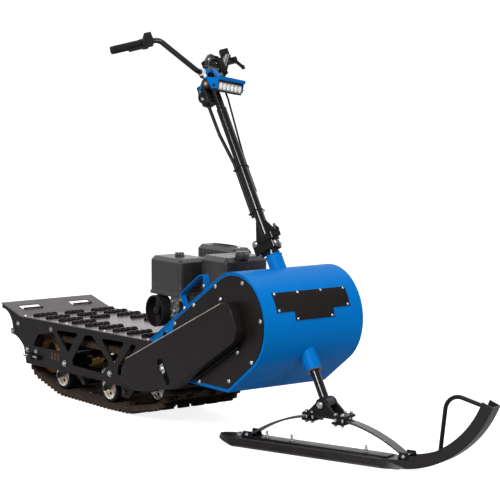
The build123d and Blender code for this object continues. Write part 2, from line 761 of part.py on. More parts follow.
# Column with the upper fold block, hinge tongue, gusset and front clamp
with BuildPart() as column:
    with BuildSketch(steer(FOLD_S - 8)):
        Circle(COLUMN_R)
    extrude(amount=590)
    with BuildSketch(steer(FOLD_S + 560)):
        Circle(17)
    extrude(amount=BAR_S - 14 - FOLD_S - 560)
    with BuildSketch(steer(FOLD_S - 10)):
        with Locations((13, 0)):
            RectangleRounded(54, 50, 8)
    extrude(amount=26)
    with BuildSketch(steer_side(12)):
        with BuildLine():
            Polyline(
                (FOLD_N, FOLD_S - 12), (FOLD_N + 30, FOLD_S - 8), (FOLD_N + 30, FOLD_S + 90),
                (FOLD_N, FOLD_S + 12), close=True,
            )
        make_face()
        with Locations((FOLD_N, FOLD_S)):
            Circle(12)
            Circle(7.4, mode=Mode.SUBTRACT)
    extrude(amount=24)
    with BuildSketch(steer_side(5)):
        with BuildLine():
            Polyline((16, FOLD_S + 10), (52, FOLD_S + 10), (18, FOLD_S + 80), close=True)
        make_face()
    extrude(amount=10)
    with BuildSketch(steer(FOLD_S - 4, 48, 0)):
        RegularPolygon(14, 6)
    extrude(amount=26)
column.part.label = "column"
export_step(column.part, "parts/column.step")

# Handlebar: bent tube with its clamp, set a little out of square
BAR_LEFT = LEFT * cos(radians(BAR_TILT)) + AXIS * sin(radians(BAR_TILT))
BAR_UP = AXIS * cos(radians(BAR_TILT)) - LEFT * sin(radians(BAR_TILT))


def at_bar(l, a, n):
    """Point l to the left of the bar's clamp, a above it and n ahead of it."""
    return KNUCKLE + AXIS * BAR_S + BAR_LEFT * l + BAR_UP * a + AHEAD * n


def bar_fold(l):
    """Plane across the bar: x ahead, y up, facing right."""
    return Plane(origin=at_bar(l, 0, 0), x_dir=AHEAD, z_dir=BAR_LEFT * -1)


BAR_R = 11.0
BAR = (
    # left, up, ahead
    (80, 0, 0),
    (247, 131, -19),
    (394, 134, -148),
)
bar_side = [at_bar(l, a, n) for l, a, n in BAR]
bar_other = [at_bar(-l, a, n) for l, a, n in BAR]
with BuildPart() as handlebar:
    with BuildLine() as bar_line:
        FilletPolyline(*(bar_other[::-1] + bar_side), radius=45)
    with BuildSketch(Plane(origin=bar_other[-1], z_dir=bar_other[-2] - bar_other[-1])):
        Circle(BAR_R)
    sweep(path=bar_line.line)
    with BuildSketch(steer(BAR_S - 14)):
        Rectangle(50, 70)
    extrude(amount=32)
handlebar.part.label = "handlebar"
export_step(handlebar.part, "parts/handlebar.step")

# Grips over the bar's ends
GRIP_LENGTH, GRIP_R = 122.0, 16.5
with BuildPart() as grips:
    for ends in (bar_side, bar_other):
        inward = (ends[-2] - ends[-1]).normalized()
        with BuildSketch(Plane(origin=ends[-1] - inward * 4, z_dir=inward)):
            Circle(GRIP_R)
        extrude(amount=GRIP_LENGTH)
        with BuildSketch(Plane(origin=ends[-1], z_dir=inward)):
            Circle(BAR_R)
        extrude(amount=GRIP_LENGTH, mode=Mode.SUBTRACT)
grips.part.label = "grips"
export_step(grips.part, "parts/grips.step")


def bar_plane(ends, distance):
    """Plane square to a bar end, at a distance in from its tip: z inward, x up the axis."""
    inward = (ends[-2] - ends[-1]).normalized()
    across = AXIS - inward * AXIS.dot(inward)
    return Plane(origin=ends[-1] + inward * distance, x_dir=across, z_dir=inward)


# Hand controls: throttle on the right, brake lever on the left
with BuildPart() as throttle:
    with BuildSketch(bar_plane(bar_other, 120)):
        Circle(18)
        with Locations((-14, 10)):
            Rectangle(30, 20)
        Circle(BAR_R, mode=Mode.SUBTRACT)
    extrude(amount=22)
    with BuildSketch(bar_plane(bar_other, 142)):
        with Locations((8, 2)):
            Rectangle(46, 38)
        Circle(BAR_R, mode=Mode.SUBTRACT)
    extrude(amount=28)
    with BuildSketch(bar_plane(bar_other, 132)):
        with Locations((-25, 14)):
            Rectangle(8, 12)
    extrude(amount=-72)
throttle.part.label = "throttle"
export_step(throttle.part, "parts/throttle.step")
perch = bar_plane(bar_side, 130)
lever_start = perch.origin + AHEAD * 36 - BAR_UP * 6
lever = perch.z_dir * -100 + AHEAD * 58 - BAR_UP * 28
with BuildPart() as brake:
    with BuildSketch(bar_plane(bar_side, 120)):
        Circle(18)
        with Locations((-4, -26)):
            Rectangle(22, 44)
        Circle(BAR_R, mode=Mode.SUBTRACT)
    extrude(amount=24)
    with BuildSketch(bar_plane(bar_side, 144)):
        with Locations((14, 0)):
            Rectangle(56, 36)
        Circle(BAR_R, mode=Mode.SUBTRACT)
    extrude(amount=26)
    with BuildSketch(Plane(origin=lever_start, z_dir=lever)):
        RectangleRounded(14, 9, 3)
    extrude(amount=lever.length)
    with BuildSketch(Plane(origin=lever_start + lever, z_dir=BAR_UP)):
        Circle(8)
    extrude(amount=7, both=True)
brake.part.label = "brake"
export_step(brake.part, "parts/brake.step")

# Head lamp looking a little down, between the cheeks of a hooded bracket
LAMP_A, LAMP_N, LAMP_TILT = -101.0, 64.0, 35.0
LAMP_W, LAMP_H, LAMP_D, HOOD_T = 180.0, 44.0, 30.0, 4.0
LAMP_FACE = AHEAD * cos(radians(LAMP_TILT)) - BAR_UP * sin(radians(LAMP_TILT))
LAMP_UP = BAR_UP * cos(radians(LAMP_TILT)) + AHEAD * sin(radians(LAMP_TILT))


def lamp_plane(ahead):
    """Plane of the lamp's face, moved ahead of it: x left, y up."""
    return Plane(origin=at_bar(0, LAMP_A, LAMP_N) + LAMP_FACE * ahead, x_dir=BAR_LEFT, z_dir=LAMP_FACE)


with BuildPart() as head_lamp:
    with BuildSketch(lamp_plane(-LAMP_D)):
        RectangleRounded(LAMP_W, LAMP_H, 5)
    extrude(amount=LAMP_D)
head_lamp.part.label = "head_lamp"
export_step(head_lamp.part, "parts/head_lamp.step")
HOOD_V = LAMP_H / 2 + 3


def lamp_side(l):
    """Plane across the lamp: x out of its face, y up, facing right."""
    return Plane(origin=lamp_plane(0).origin + BAR_LEFT * l, x_dir=LAMP_FACE, z_dir=BAR_LEFT * -1)


with BuildPart() as lamp_bracket:
    with BuildSketch(lamp_plane(-60)):
        with Locations((0, HOOD_V + HOOD_T / 2)):
            Rectangle(LAMP_W + 2 * HOOD_T, HOOD_T)
    extrude(amount=68)
    with BuildSketch(lamp_plane(8 - HOOD_T)):
        with Locations((0, HOOD_V + 7)):
            Rectangle(LAMP_W + 2 * HOOD_T, 14)
    extrude(amount=HOOD_T)
    for l in (LAMP_W / 2 + HOOD_T, -LAMP_W / 2):
        with BuildSketch(lamp_side(l)):
            with BuildLine():
                Polyline((2, HOOD_V + HOOD_T), (-60, HOOD_V + HOOD_T), (-26, -12), (2, -12), close=True)
            make_face()
        extrude(amount=HOOD_T)
    with BuildSketch(bar_fold(14)):
        with BuildLine():
            Polyline((25, 4), (29, 4), (49, -51), (43, -56), (25, -10), close=True)
        make_face()
    extrude(amount=28)
    with BuildSketch(steer_side(-35)):
        with BuildLine():
            Polyline(
                (13, BAR_S + 4), (25, BAR_S + 4), (25, BAR_S - 12), (-40, BAR_S - 62),
                (-54, BAR_S - 62), (-2, BAR_S - 18), (13, BAR_S - 16), close=True,
            )
        make_face()
    extrude(amount=HOOD_T)
lamp_bracket.part.label = "lamp_bracket"
export_step(lamp_bracket.part, "parts/lamp_bracket.step")

# Horn and wiring bundle behind the column's head
WIRING_S = 1315.0
with BuildPart() as wiring:
    with BuildSketch(steer(WIRING_S, -40, -6)):
        RectangleRounded(46, 56, 14)
    extrude(amount=84)
wiring.part.label = "wiring"
export_step(wiring.part, "parts/wiring.step")

# Ski fork: two cheeks on a foot
FOOT_T = 10.0
with BuildPart() as ski_fork:
    for l in (-26, 38):
        with BuildSketch(ski_side(l)):
            with BuildLine():
                Polyline((-18, 10), (-72, SPRING_TOP + 2.4), (74, SPRING_TOP + 2.4), (18, 10), close=True)
            make_face()
            Circle(24)
            Circle(9, mode=Mode.SUBTRACT)
        extrude(amount=12)
    with BuildSketch(ski_flat(11, 0, SPRING_TOP + 0.4)):
        Rectangle(186, 80)
    extrude(amount=FOOT_T)
ski_fork.part.label = "ski_fork"
export_step(ski_fork.part, "parts/ski_fork.step")
with BuildPart() as knuckle_bolt:
    with BuildSketch(ski_side(50)):
        Circle(9)
    extrude(amount=100)
    for l, depth in ((58, 8), (-38, 8)):
        with BuildSketch(ski_side(l)):
            RegularPolygon(14, 6)
        extrude(amount=depth)
knuckle_bolt.part.label = "knuckle_bolt"
export_step(knuckle_bolt.part, "parts/knuckle_bolt.step")

# Leaf spring bow, its ends a little above the ski's deck
SKI_TOP = SKI_FLOOR + SKI_DECK
SHOE_T = 8.0
spring_mid = (SPRING_REAR + SPRING_FRONT) / 2
spring_half = (SPRING_FRONT - SPRING_REAR) / 2
spring_end = SKI_TOP + SHOE_T + SPRING_T * 0.82
spring_drop = SPRING_TOP - spring_end
spring_r = (spring_half ** 2 + spring_drop ** 2) / (2 * spring_drop)
lean_in = SPRING_T * spring_half / spring_r
lean_down = SPRING_T * (spring_r - spring_drop) / spring_r
with BuildPart() as leaf_spring:
    with BuildSketch(ski_side(SPRING_HALF)):
        with BuildLine():
            ThreePointArc((SPRING_REAR, spring_end), (spring_mid, SPRING_TOP), (SPRING_FRONT, spring_end))
            Line((SPRING_FRONT, spring_end), (SPRING_FRONT - lean_in, spring_end - lean_down))
            ThreePointArc(
                (SPRING_FRONT - lean_in, spring_end - lean_down), (spring_mid, SPRING_TOP - SPRING_T),
                (SPRING_REAR + lean_in, spring_end - lean_down),
            )
            Line((SPRING_REAR + lean_in, spring_end - lean_down), (SPRING_REAR, spring_end))
        make_face()
    extrude(amount=2 * SPRING_HALF)
leaf_spring.part.label = "leaf_spring"
export_step(leaf_spring.part, "parts/leaf_spring.step")

# Ski: round-nosed channel ahead of a flat body with sloping sides and a tapered tail
nose = (SKI_BEND, SKI_FLOOR + NOSE_R)


def nose_band(outer):
    """Side outline of the nose from an outer radius up to its edge."""
    inner = NOSE_R - NOSE_DEEP
    ends = [radians(NOSE_START - 90), radians(NOSE_TURN - 90)]
    CenterArc(nose, outer, NOSE_START - 90, NOSE_TURN - NOSE_START)
    CenterArc(nose, inner, NOSE_START - 90, NOSE_TURN - NOSE_START)
    for end in ends:
        Line(
            (nose[0] + outer * cos(end), nose[1] + outer * sin(end)),
            (nose[0] + inner * cos(end), nose[1] + inner * sin(end)),
        )


with BuildPart() as ski_body:
    with BuildSketch(ski_flat(0, 0, SKI_FLOOR)):
        with BuildLine():
            Polyline(
                (SKI_KICK, -SKI_HALF), (SKI_BEND - 40, -SKI_HALF), (SKI_BEND + 76, 2 - NOSE_HALF),
                (SKI_BEND + 76, NOSE_HALF - 2), (SKI_BEND - 40, SKI_HALF), (SKI_KICK, SKI_HALF),
                (SKI_TAIL + 48, 46), (SKI_TAIL + 16, 28), (SKI_TAIL, 0), (SKI_TAIL + 16, -28),
                (SKI_TAIL + 48, -46), close=True,
            )
        make_face()
    extrude(amount=SKI_DECK, taper=SKI_DRAFT)
    with BuildSketch(ski_side(0)):
        with BuildLine():
            Polyline(
                (SKI_KICK - 6, SKI_FLOOR - 1), (SKI_TAIL - 20, SKI_FLOOR - 1), (SKI_TAIL - 20, SKI_TOP - 6),
                close=True,
            )
        make_face()
        with Locations((SKI_BEND + 72, SKI_FLOOR)):
            Rectangle(100, 40)
        with Locations(nose):
            Circle(NOSE_R - 2, mode=Mode.SUBTRACT)
    extrude(amount=SKI_HALF + 5, both=True, mode=Mode.SUBTRACT)
with BuildPart() as ski:
    with BuildSketch(ski_side(0)):
        with BuildLine():
            nose_band(NOSE_R)
        make_face()
    extrude(amount=NOSE_HALF, both=True)
    with BuildSketch(ski_side(0)):
        with BuildLine():
            nose_band(NOSE_R - SKI_T)
        make_face()
    extrude(amount=NOSE_HALF - SKI_T, both=True, mode=Mode.SUBTRACT)
    add(ski_body.part)
ski.part.label = "ski"
export_step(ski.part, "parts/ski.step")

# Spring shoes on the ski
with BuildPart() as spring_shoes:
    for x, long, wide in ((SPRING_REAR - 4, 64, 64), (SPRING_FRONT - 4, 46, 44)):
        with BuildSketch(ski_flat(x, 0, SKI_TOP)):
            Rectangle(long, wide)
        extrude(amount=SHOE_T - 0.4)
spring_shoes.part.label = "spring_shoes"
export_step(spring_shoes.part, "parts/spring_shoes.step")

# Loop handle on the ski's nose
LOOP_R, LOOP_FROM, LOOP_TO = 8.0, 22.5, NOSE_TURN - 2.0
reach = NOSE_R + 6
loop_ends = [
    (nose[0] + reach * sin(radians(a)), nose[1] - reach * cos(radians(a))) for a in (LOOP_FROM, LOOP_TO)
]
with BuildPart() as ski_loop:
    with BuildLine(ski_side(0)) as loop_line:
        FilletPolyline(loop_ends[0], (nose[0] + 197, 98), loop_ends[1], radius=55)
    with BuildSketch(Plane(origin=loop_line.line @ 0, z_dir=loop_line.line % 0)):
        Circle(LOOP_R)
    sweep(path=loop_line.line)
    with BuildSketch(ski_side(0)):
        with Locations(nose):
            Circle(NOSE_R + 60)
            Circle(NOSE_R - SKI_T, mode=Mode.SUBTRACT)
    extrude(amount=NOSE_HALF, both=True, mode=Mode.SUBTRACT)
ski_loop.part.label = "ski_loop"
export_step(ski_loop.part, "parts/ski_loop.step")

# Control cables tied along the column
CABLES = (
    # radius, then (up the axis, ahead, left) along the route
    (7, ((WIRING_S - 0.6, -46, -8), (1180, -44, -6), (1040, -27, -2), (800, -27, -2))),
    (4, ((BAR_S - 16, 4, 70), (1330, 10, 62), (1060, 10, 22.6), (900, 10, 22.6))),
)
with BuildPart() as cables:
    for r, route in CABLES:
        with BuildLine() as route_line:
            FilletPolyline(*(at_steer(s, n, l) for s, n, l in route), radius=12 * r)
        with BuildSketch(Plane(origin=route_line.line @ 0, z_dir=route_line.line % 0)):
            Circle(r)
        sweep(path=route_line.line)
cables.part.label = "cables"
export_step(cables.part, "parts/cables.step")
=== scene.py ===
"""Looks of a compact single-ski snowmobile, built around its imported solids."""

import json
import logging
import math
from dataclasses import dataclass, field
from enum import Enum
from typing import Iterable, Optional, Sequence

import bmesh
import bpy
from mathutils import Matrix, Vector, geometry


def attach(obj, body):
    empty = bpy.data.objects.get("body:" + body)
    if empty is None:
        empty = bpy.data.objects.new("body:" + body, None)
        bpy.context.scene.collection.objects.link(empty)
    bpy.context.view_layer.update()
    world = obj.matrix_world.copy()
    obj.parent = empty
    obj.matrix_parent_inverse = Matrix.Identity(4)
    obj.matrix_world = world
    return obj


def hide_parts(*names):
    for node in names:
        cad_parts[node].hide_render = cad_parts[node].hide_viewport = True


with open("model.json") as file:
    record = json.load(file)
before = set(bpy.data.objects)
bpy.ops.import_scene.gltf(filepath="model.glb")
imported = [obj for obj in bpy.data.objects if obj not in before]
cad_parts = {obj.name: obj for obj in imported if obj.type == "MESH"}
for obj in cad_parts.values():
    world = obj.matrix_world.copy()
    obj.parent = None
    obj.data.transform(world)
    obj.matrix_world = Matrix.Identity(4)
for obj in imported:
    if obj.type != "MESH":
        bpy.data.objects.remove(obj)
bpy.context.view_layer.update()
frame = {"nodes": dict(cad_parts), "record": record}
LOG = logging.getLogger("snowmobile")
MM = 0.001

Point2 = tuple[float, float]
Point3 = tuple[float, float, float]

UP = Vector((0, 0, 1))
ACROSS = Vector((0, 1, 0))
HANDS = (-1, 1)
BEVEL_PROFILE = 0.6
RELIEF_DEPTH = 0.0006


def round_angles(count: int) -> list[float]:
    """Even angles once round, in radians."""
    return [2 * math.pi * k / count for k in range(count)]


def capsule(ends: Sequence[Point3]) -> list[Point2]:
    """Outline of a slot or an arm with round ends.

    Args:
        ends: the middle along x, the radius and the first angle in degrees of each end.

    Returns:
        The outline's corners.
    """
    outline: list[Point2] = []
    for middle, r, start in ends:
        for k in range(13):
            a = math.radians(start + 15 * k)
            outline.append((middle + r * math.cos(a), r * math.sin(a)))
    return outline


@dataclass(frozen=True)
class Datum:
    """Shared reference places of the machine, in millimetres."""

    hull_x: float = 437.0
    centre_y: float = 54.0
    hull_z: float = 490.0
    rake: float = 32.0
    turn: float = 22.0
    knuckle: Point3 = (262.9, 0.0, 200.0)
    bar_s: float = 1440.0
    bar_tilt: float = 5.0
    lamp_tilt: float = 35.0

    def at(self, x: float, y: float, z: float) -> Vector:
        """Point ahead of the hull's axis, left of the middle and above the ground, in metres."""
        return Vector((self.hull_x + x, self.centre_y + y, z)) * MM

    @property
    def axis(self) -> Vector:
        """Direction up the steering axis."""
        r = math.radians(self.rake)
        return Vector((-math.sin(r), 0, math.cos(r)))

    @property
    def ahead(self) -> Vector:
        """Direction ahead of the turned steering, square to its axis."""
        r, t = math.radians(self.rake), math.radians(self.turn)
        return Vector((math.cos(r) * math.cos(t), math.sin(t), math.sin(r) * math.cos(t)))

    @property
    def left(self) -> Vector:
        """Direction to the left of the turned steering."""
        return self.axis.cross(self.ahead)

    @property
    def ski_ahead(self) -> Vector:
        """Level direction ahead of the ski."""
        return self.left.cross(UP).normalized()

    @property
    def ski_left(self) -> Vector:
        """Level direction to the left of the ski."""
        return UP.cross(self.ski_ahead)

    @property
    def bar_left(self) -> Vector:
        """Direction to the left along the handlebar, a little out of square."""
        t = math.radians(self.bar_tilt)
        return self.left * math.cos(t) + self.axis * math.sin(t)

    @property
    def bar_up(self) -> Vector:
        """Direction up from the handlebar."""
        t = math.radians(self.bar_tilt)
        return self.axis * math.cos(t) - self.left * math.sin(t)

    @property
    def lamp_face(self) -> Vector:
        """Direction in which the head lamp looks."""
        t = math.radians(self.lamp_tilt)
        return self.ahead * math.cos(t) - self.bar_up * math.sin(t)

    @property
    def lamp_up(self) -> Vector:
        """Direction up the head lamp's face."""
        t = math.radians(self.lamp_tilt)
        return self.bar_up * math.cos(t) + self.ahead * math.sin(t)

    def steer(self, s: float, n: float = 0.0, l: float = 0.0) -> Vector:
        """Point s up the steering axis, n ahead of it and l to its left, in metres."""
        return self.at(*self.knuckle) + (self.axis * s + self.ahead * n + self.left * l) * MM

    def ski(self, x: float, l: float, z: float) -> Vector:
        """Point x ahead of the ski's bolt, l to its left and z above it, in metres."""
        return self.at(*self.knuckle) + (self.ski_ahead * x + self.ski_left * l + Vector((0, 0, z))) * MM

    def bar(self, l: float, a: float, n: float) -> Vector:
        """Point l to the left of the bar's clamp, a above it and n ahead of it, in metres."""
        return self.steer(self.bar_s) + (self.bar_left * l + self.bar_up * a + self.ahead * n) * MM


DATUM = Datum()


@dataclass(frozen=True)
class Place:
    """A local frame: an origin in metres and two directions, with the third square to both."""

    origin: Vector
    x: Vector
    y: Vector

    def matrix(self) -> Matrix:
        """Matrix from local millimetres to metres.

        Returns:
            The matrix.
        """
        x = self.x.normalized()
        z = x.cross(self.y).normalized()
        y = z.cross(x)
        turn = Matrix((x, y, z)).transposed().to_4x4()
        return Matrix.Translation(self.origin) @ turn @ Matrix.Scale(MM, 4)

    @classmethod
    def side(cls, x: float, y: float, z: float, turn: float = 0.0) -> "Place":
        """Place on a flank, facing away from the middle.

        Args:
            x: distance ahead of the hull's axis.
            y: distance to the left of the middle.
            z: height above the ground.
            turn: degrees turned about its own normal.

        Returns:
            The place.
        """
        hand = -1.0 if y < 0 else 1.0
        along = Vector((-hand, 0, 0))
        c, s = math.cos(math.radians(turn)), math.sin(math.radians(turn))
        return cls(DATUM.at(x, y, z), along * c + UP * s, UP * c - along * s)

    @classmethod
    def top(cls, x: float, y: float, z: float) -> "Place":
        """Place facing up, x ahead."""
        return cls(DATUM.at(x, y, z), Vector((1, 0, 0)), ACROSS)

    @classmethod
    def column(cls, s: float, n: float = 0.0, l: float = 0.0) -> "Place":
        """Place square to the steering axis, facing up it, x ahead."""
        return cls(DATUM.steer(s, n, l), DATUM.ahead, DATUM.left)

    @classmethod
    def facing(cls, origin: Vector, normal: Vector, up: Vector) -> "Place":
        """Place at a point, facing along a normal, with y near a given up."""
        x = up.cross(normal)
        return cls(origin, x, normal.cross(x))


class Grain(Enum):
    """Fine relief of a finish."""

    PAINT = "paint"
    POWDER = "powder"
    CAST = "cast"
    PLATED = "plated"
    MOULDED = "moulded"
    RUBBER = "rubber"
    GLASS = "glass"


@dataclass(frozen=True)
class Finish:
    """A surface finish made of nodes.

    Fields give the colour, gloss and the scale and depth of the relief.
    """

    name: str
    slot: str
    colour: Point3
    grain: Grain
    rough: float = 0.4
    metal: float = 0.0
    scale: float = 600.0
    bump: float = 0.1
    spread: float = 0.12
    dust: float = 0.0
    dust_colour: Point3 = (0.42, 0.36, 0.3)
    glow: float = 0.0
    sheen: float = 0.5

    def material(self) -> bpy.types.Material:
        """Make the material, or give the one made before.

        Returns:
            The finish as a Blender material.
        """
        made = bpy.data.materials.get(self.name)
        if made is not None:
            return made
        made = bpy.data.materials.new(self.name)
        made.use_nodes = True
        tree = made.node_tree
        shader = tree.nodes["Principled BSDF"]
        shader.inputs["Metallic"].default_value = self.metal
        shader.inputs["Specular IOR Level"].default_value = self.sheen
        # Emission; on the lamp's lens and panel it is painted light, as the lamp is unlit.
        if self.glow:
            shader.inputs["Emission Color"].default_value = (*self.colour, 1)
            shader.inputs["Emission Strength"].default_value = self.glow
        coords = tree.nodes.new("ShaderNodeTexCoord")
        self._tint(tree, coords, shader)
        self._gloss(tree, coords, shader)
        self._relief(tree, coords, shader)
        return made

    def _noise(self, tree: bpy.types.NodeTree, coords: bpy.types.Node, scale: float,
               detail: float) -> bpy.types.Node:
        """Noise in the piece's own frame.

        Args:
            tree: the material's node tree.
            coords: its texture coordinates.
            scale: how fine the noise is.
            detail: how many finer layers it has.

        Returns:
            The noise node.
        """
        noise = tree.nodes.new("ShaderNodeTexNoise")
        noise.inputs["Scale"].default_value = scale
        noise.inputs["Detail"].default_value = detail
        tree.links.new(coords.outputs["Object"], noise.inputs["Vector"])
        return noise

    def _tint(self, tree: bpy.types.NodeTree, coords: bpy.types.Node, shader: bpy.types.Node) -> None:
        """Colour that drifts a little over the surface, with dust in patches.

        Args:
            tree: the material's node tree.
            coords: its texture coordinates.
            shader: the surface shader.
        """
        drift = self._noise(tree, coords, scale=9.0, detail=4.0)
        ramp = tree.nodes.new("ShaderNodeValToRGB")
        low, high = ramp.color_ramp.elements
        low.position, high.position = 0.3, 0.7
        low.color = (*(c * (1 - self.spread) for c in self.colour), 1)
        high.color = (*(min(1.0, c * (1 + self.spread)) for c in self.colour), 1)
        tree.links.new(drift.outputs["Fac"], ramp.inputs["Fac"])
        out = ramp.outputs["Color"]
        if self.dust:
            patch = self._noise(tree, coords, scale=23.0, detail=8.0)
            share = tree.nodes.new("ShaderNodeMapRange")
            share.inputs["From Min"].default_value = 0.45
            share.inputs["From Max"].default_value = 0.75
            share.inputs["To Max"].default_value = self.dust
            tree.links.new(patch.outputs["Fac"], share.inputs["Value"])
            mix = tree.nodes.new("ShaderNodeMix")
            mix.data_type = "RGBA"
            mix.inputs["B"].default_value = (*self.dust_colour, 1)
            tree.links.new(share.outputs["Result"], mix.inputs["Factor"])
            tree.links.new(out, mix.inputs["A"])
            out = mix.outputs["Result"]
        tree.links.new(out, shader.inputs["Base Color"])

    def _gloss(self, tree: bpy.types.NodeTree, coords: bpy.types.Node, shader: bpy.types.Node) -> None:
        """Roughness that varies over the surface.

        Args:
            tree: the material's node tree.
            coords: its texture coordinates.
            shader: the surface shader.
        """
        patch = self._noise(tree, coords, scale=40.0, detail=6.0)
        span = tree.nodes.new("ShaderNodeMapRange")
        span.inputs["From Min"].default_value = 0.3
        span.inputs["From Max"].default_value = 0.7
        span.inputs["To Min"].default_value = self.rough * 0.85
        span.inputs["To Max"].default_value = min(1.0, self.rough * 1.2)
        tree.links.new(patch.outputs["Fac"], span.inputs["Value"])
        tree.links.new(span.outputs["Result"], shader.inputs["Roughness"])

    def _relief(self, tree: bpy.types.NodeTree, coords: bpy.types.Node, shader: bpy.types.Node) -> None:
        """Fine relief from noise, or scratches on plated metal.

        Args:
            tree: the material's node tree.
            coords: its texture coordinates.
            shader: the surface shader.
        """
        if not self.bump:
            return
        bump = tree.nodes.new("ShaderNodeBump")
        bump.inputs["Strength"].default_value = self.bump
        bump.inputs["Distance"].default_value = RELIEF_DEPTH
        if self.grain in (Grain.CAST, Grain.POWDER, Grain.RUBBER):
            relief = tree.nodes.new("ShaderNodeTexVoronoi")
            relief.feature = "SMOOTH_F1"
            relief.inputs["Scale"].default_value = self.scale
            tree.links.new(coords.outputs["Object"], relief.inputs["Vector"])
            height = relief.outputs["Distance"]
        else:
            relief = self._noise(tree, coords, scale=self.scale, detail=3.0)
            height = relief.outputs["Fac"]
        tree.links.new(height, bump.inputs["Height"])
        tree.links.new(bump.outputs["Normal"], shader.inputs["Normal"])


BLUE = Finish("blue_enamel", "blue_paint", (0.0, 0.132, 0.43), Grain.PAINT, 0.38,
              scale=420, bump=0.006, spread=0.03, sheen=0.03)
BLACK = Finish("black_powder_coat", "black_paint", (0.0092, 0.0073, 0.0072), Grain.POWDER, 0.33,
               scale=1500, bump=0.05, sheen=0.13)
GLOSS = Finish("black_gloss_enamel", "black_paint", (0.0075, 0.0064, 0.0066), Grain.PAINT, 0.17,
               scale=300, bump=0.02, sheen=0.4)
# Leaf spring: black enamel with its base colour lifted four times over the gloss black so it looks lit by reflection:
# painted sheen.
PAINTED_SHEEN_SPRING = Finish("spring_enamel", "black_paint", (0.03, 0.026, 0.028), Grain.PAINT, 0.25,
                scale=300, bump=0.03, sheen=0.8)
# Deck and tail plate: black powder coat with the base colour lifted well above the frames' black so they look lit by
# their grazing reflection of the backdrop: painted sheen.
PAINTED_SHEEN_DECK = Finish("deck_powder_coat", "black_paint", (0.062, 0.052, 0.06), Grain.POWDER, 0.24,
              scale=1500, bump=0.008, sheen=1.0)
PAINTED_SHEEN_TAIL = Finish("tail_powder_coat", "black_paint", (0.036, 0.029, 0.035), Grain.POWDER, 0.34,
              scale=1500, bump=0.015, sheen=0.5)
SKI = Finish("ski_moulding", "black_paint", (0.0125, 0.0105, 0.0112), Grain.MOULDED, 0.3,
             scale=240, bump=0.015, sheen=0.28)
# Ski lips: the ski's black moulding made about three times lighter so its rolled edges show lines of light: painted
# highlight.
SKI_LIP_HIGHLIGHT = Finish("ski_lip", "black_paint", (0.034, 0.029, 0.03), Grain.MOULDED, 0.34,
                 scale=240, bump=0.01, sheen=0.6)
RUBBER = Finish("belt_rubber", "track_rubber", (0.05, 0.037, 0.029), Grain.RUBBER, 0.75,
                scale=700, bump=0.3, dust=0.5,
                dust_colour=(0.11, 0.078, 0.06), sheen=0.0)
LUG = Finish("lug_rubber", "track_rubber", (0.016, 0.013, 0.0115), Grain.RUBBER, 0.65,
             scale=700, bump=0.3, sheen=0.0)
TYRE = Finish("roller_tyre", "tyre", (0.01, 0.0095, 0.0095), Grain.RUBBER, 0.5,
              scale=900, bump=0.15, sheen=0.12)
STEEL = Finish("zinc_steel", "steel", (0.56, 0.57, 0.58), Grain.PLATED, 0.28, 1.0,
               scale=260, bump=0.1, spread=0.3)
RIM = Finish("pressed_rim", "steel", (0.74, 0.62, 0.5), Grain.PLATED, 0.36, 0.4,
             scale=180, bump=0.12, spread=0.3)
CHROME = Finish("bright_lip", "steel", (0.86, 0.87, 0.88), Grain.PLATED, 0.2, 0.7,
                scale=260, bump=0.04, spread=0.15)
# Painted highlight: pale metal for the light line along the drive case's upper edge.
EDGE = Finish("painted_edge_highlight", "steel", (0.42, 0.35, 0.33), Grain.PLATED, 0.4, 0.4,
              scale=300, bump=0.05, spread=0.2)
ZINC = Finish("yellow_zinc", "spring_zinc", (0.5, 0.36, 0.13), Grain.PLATED, 0.36, 1.0,
              scale=200, bump=0.06, spread=0.3)
BRONZE = Finish("bronze_bush", "spring_zinc", (0.23, 0.135, 0.075), Grain.CAST, 0.45, 0.8,
                scale=500, bump=0.15, spread=0.25)
TAN = Finish("tan_nylon", "tan_plastic", (0.38, 0.19, 0.085), Grain.MOULDED, 0.5,
             scale=500, bump=0.1, dust=0.3,
             dust_colour=(0.12, 0.08, 0.05), sheen=0.2)
CAST = Finish("engine_casting", "engine_metal", (0.014, 0.0135, 0.0135), Grain.CAST, 0.45,
              scale=900, bump=0.3, sheen=0.15)
ALLOY = Finish("bare_casting", "engine_metal", (0.26, 0.26, 0.27), Grain.CAST, 0.4, 1.0,
               scale=800, bump=0.35, spread=0.35)
PLASTIC = Finish("black_moulding", "black_plastic", (0.0125, 0.0105, 0.0108), Grain.MOULDED, 0.4,
                 scale=1100, bump=0.14, sheen=0.13)
COVER = Finish("engine_cover", "black_plastic", (0.02, 0.0178, 0.0182), Grain.MOULDED, 0.27,
               scale=1100, bump=0.018, sheen=0.65)
MATT = Finish("matt_moulding", "black_plastic", (0.0105, 0.0092, 0.0094), Grain.MOULDED, 0.5,
              scale=900, bump=0.08, sheen=0.02)
GRIP = Finish("ribbed_rubber", "grip_rubber", (0.013, 0.0117, 0.0118), Grain.RUBBER, 0.62,
              scale=1300, bump=0.25, sheen=0.1)
SHEATH = Finish("cable_jacket", "cable_sheath", (0.008, 0.0075, 0.0075), Grain.MOULDED, 0.36,
                scale=900, bump=0.06, sheen=0.2)
PALE = Finish("pale_nylon", "steel", (0.66, 0.65, 0.63), Grain.MOULDED, 0.4,
              scale=600, bump=0.06, spread=0.05, sheen=0.3)
# Painted shade: near black for thin sheets laid in slots, holes, vents and recesses where only shade falls.
PAINTED_SHADE = Finish("painted_shade", "black_plastic", (0.0022, 0.002, 0.002), Grain.MOULDED, 0.8,
              scale=600, bump=0.05, sheen=0.05)
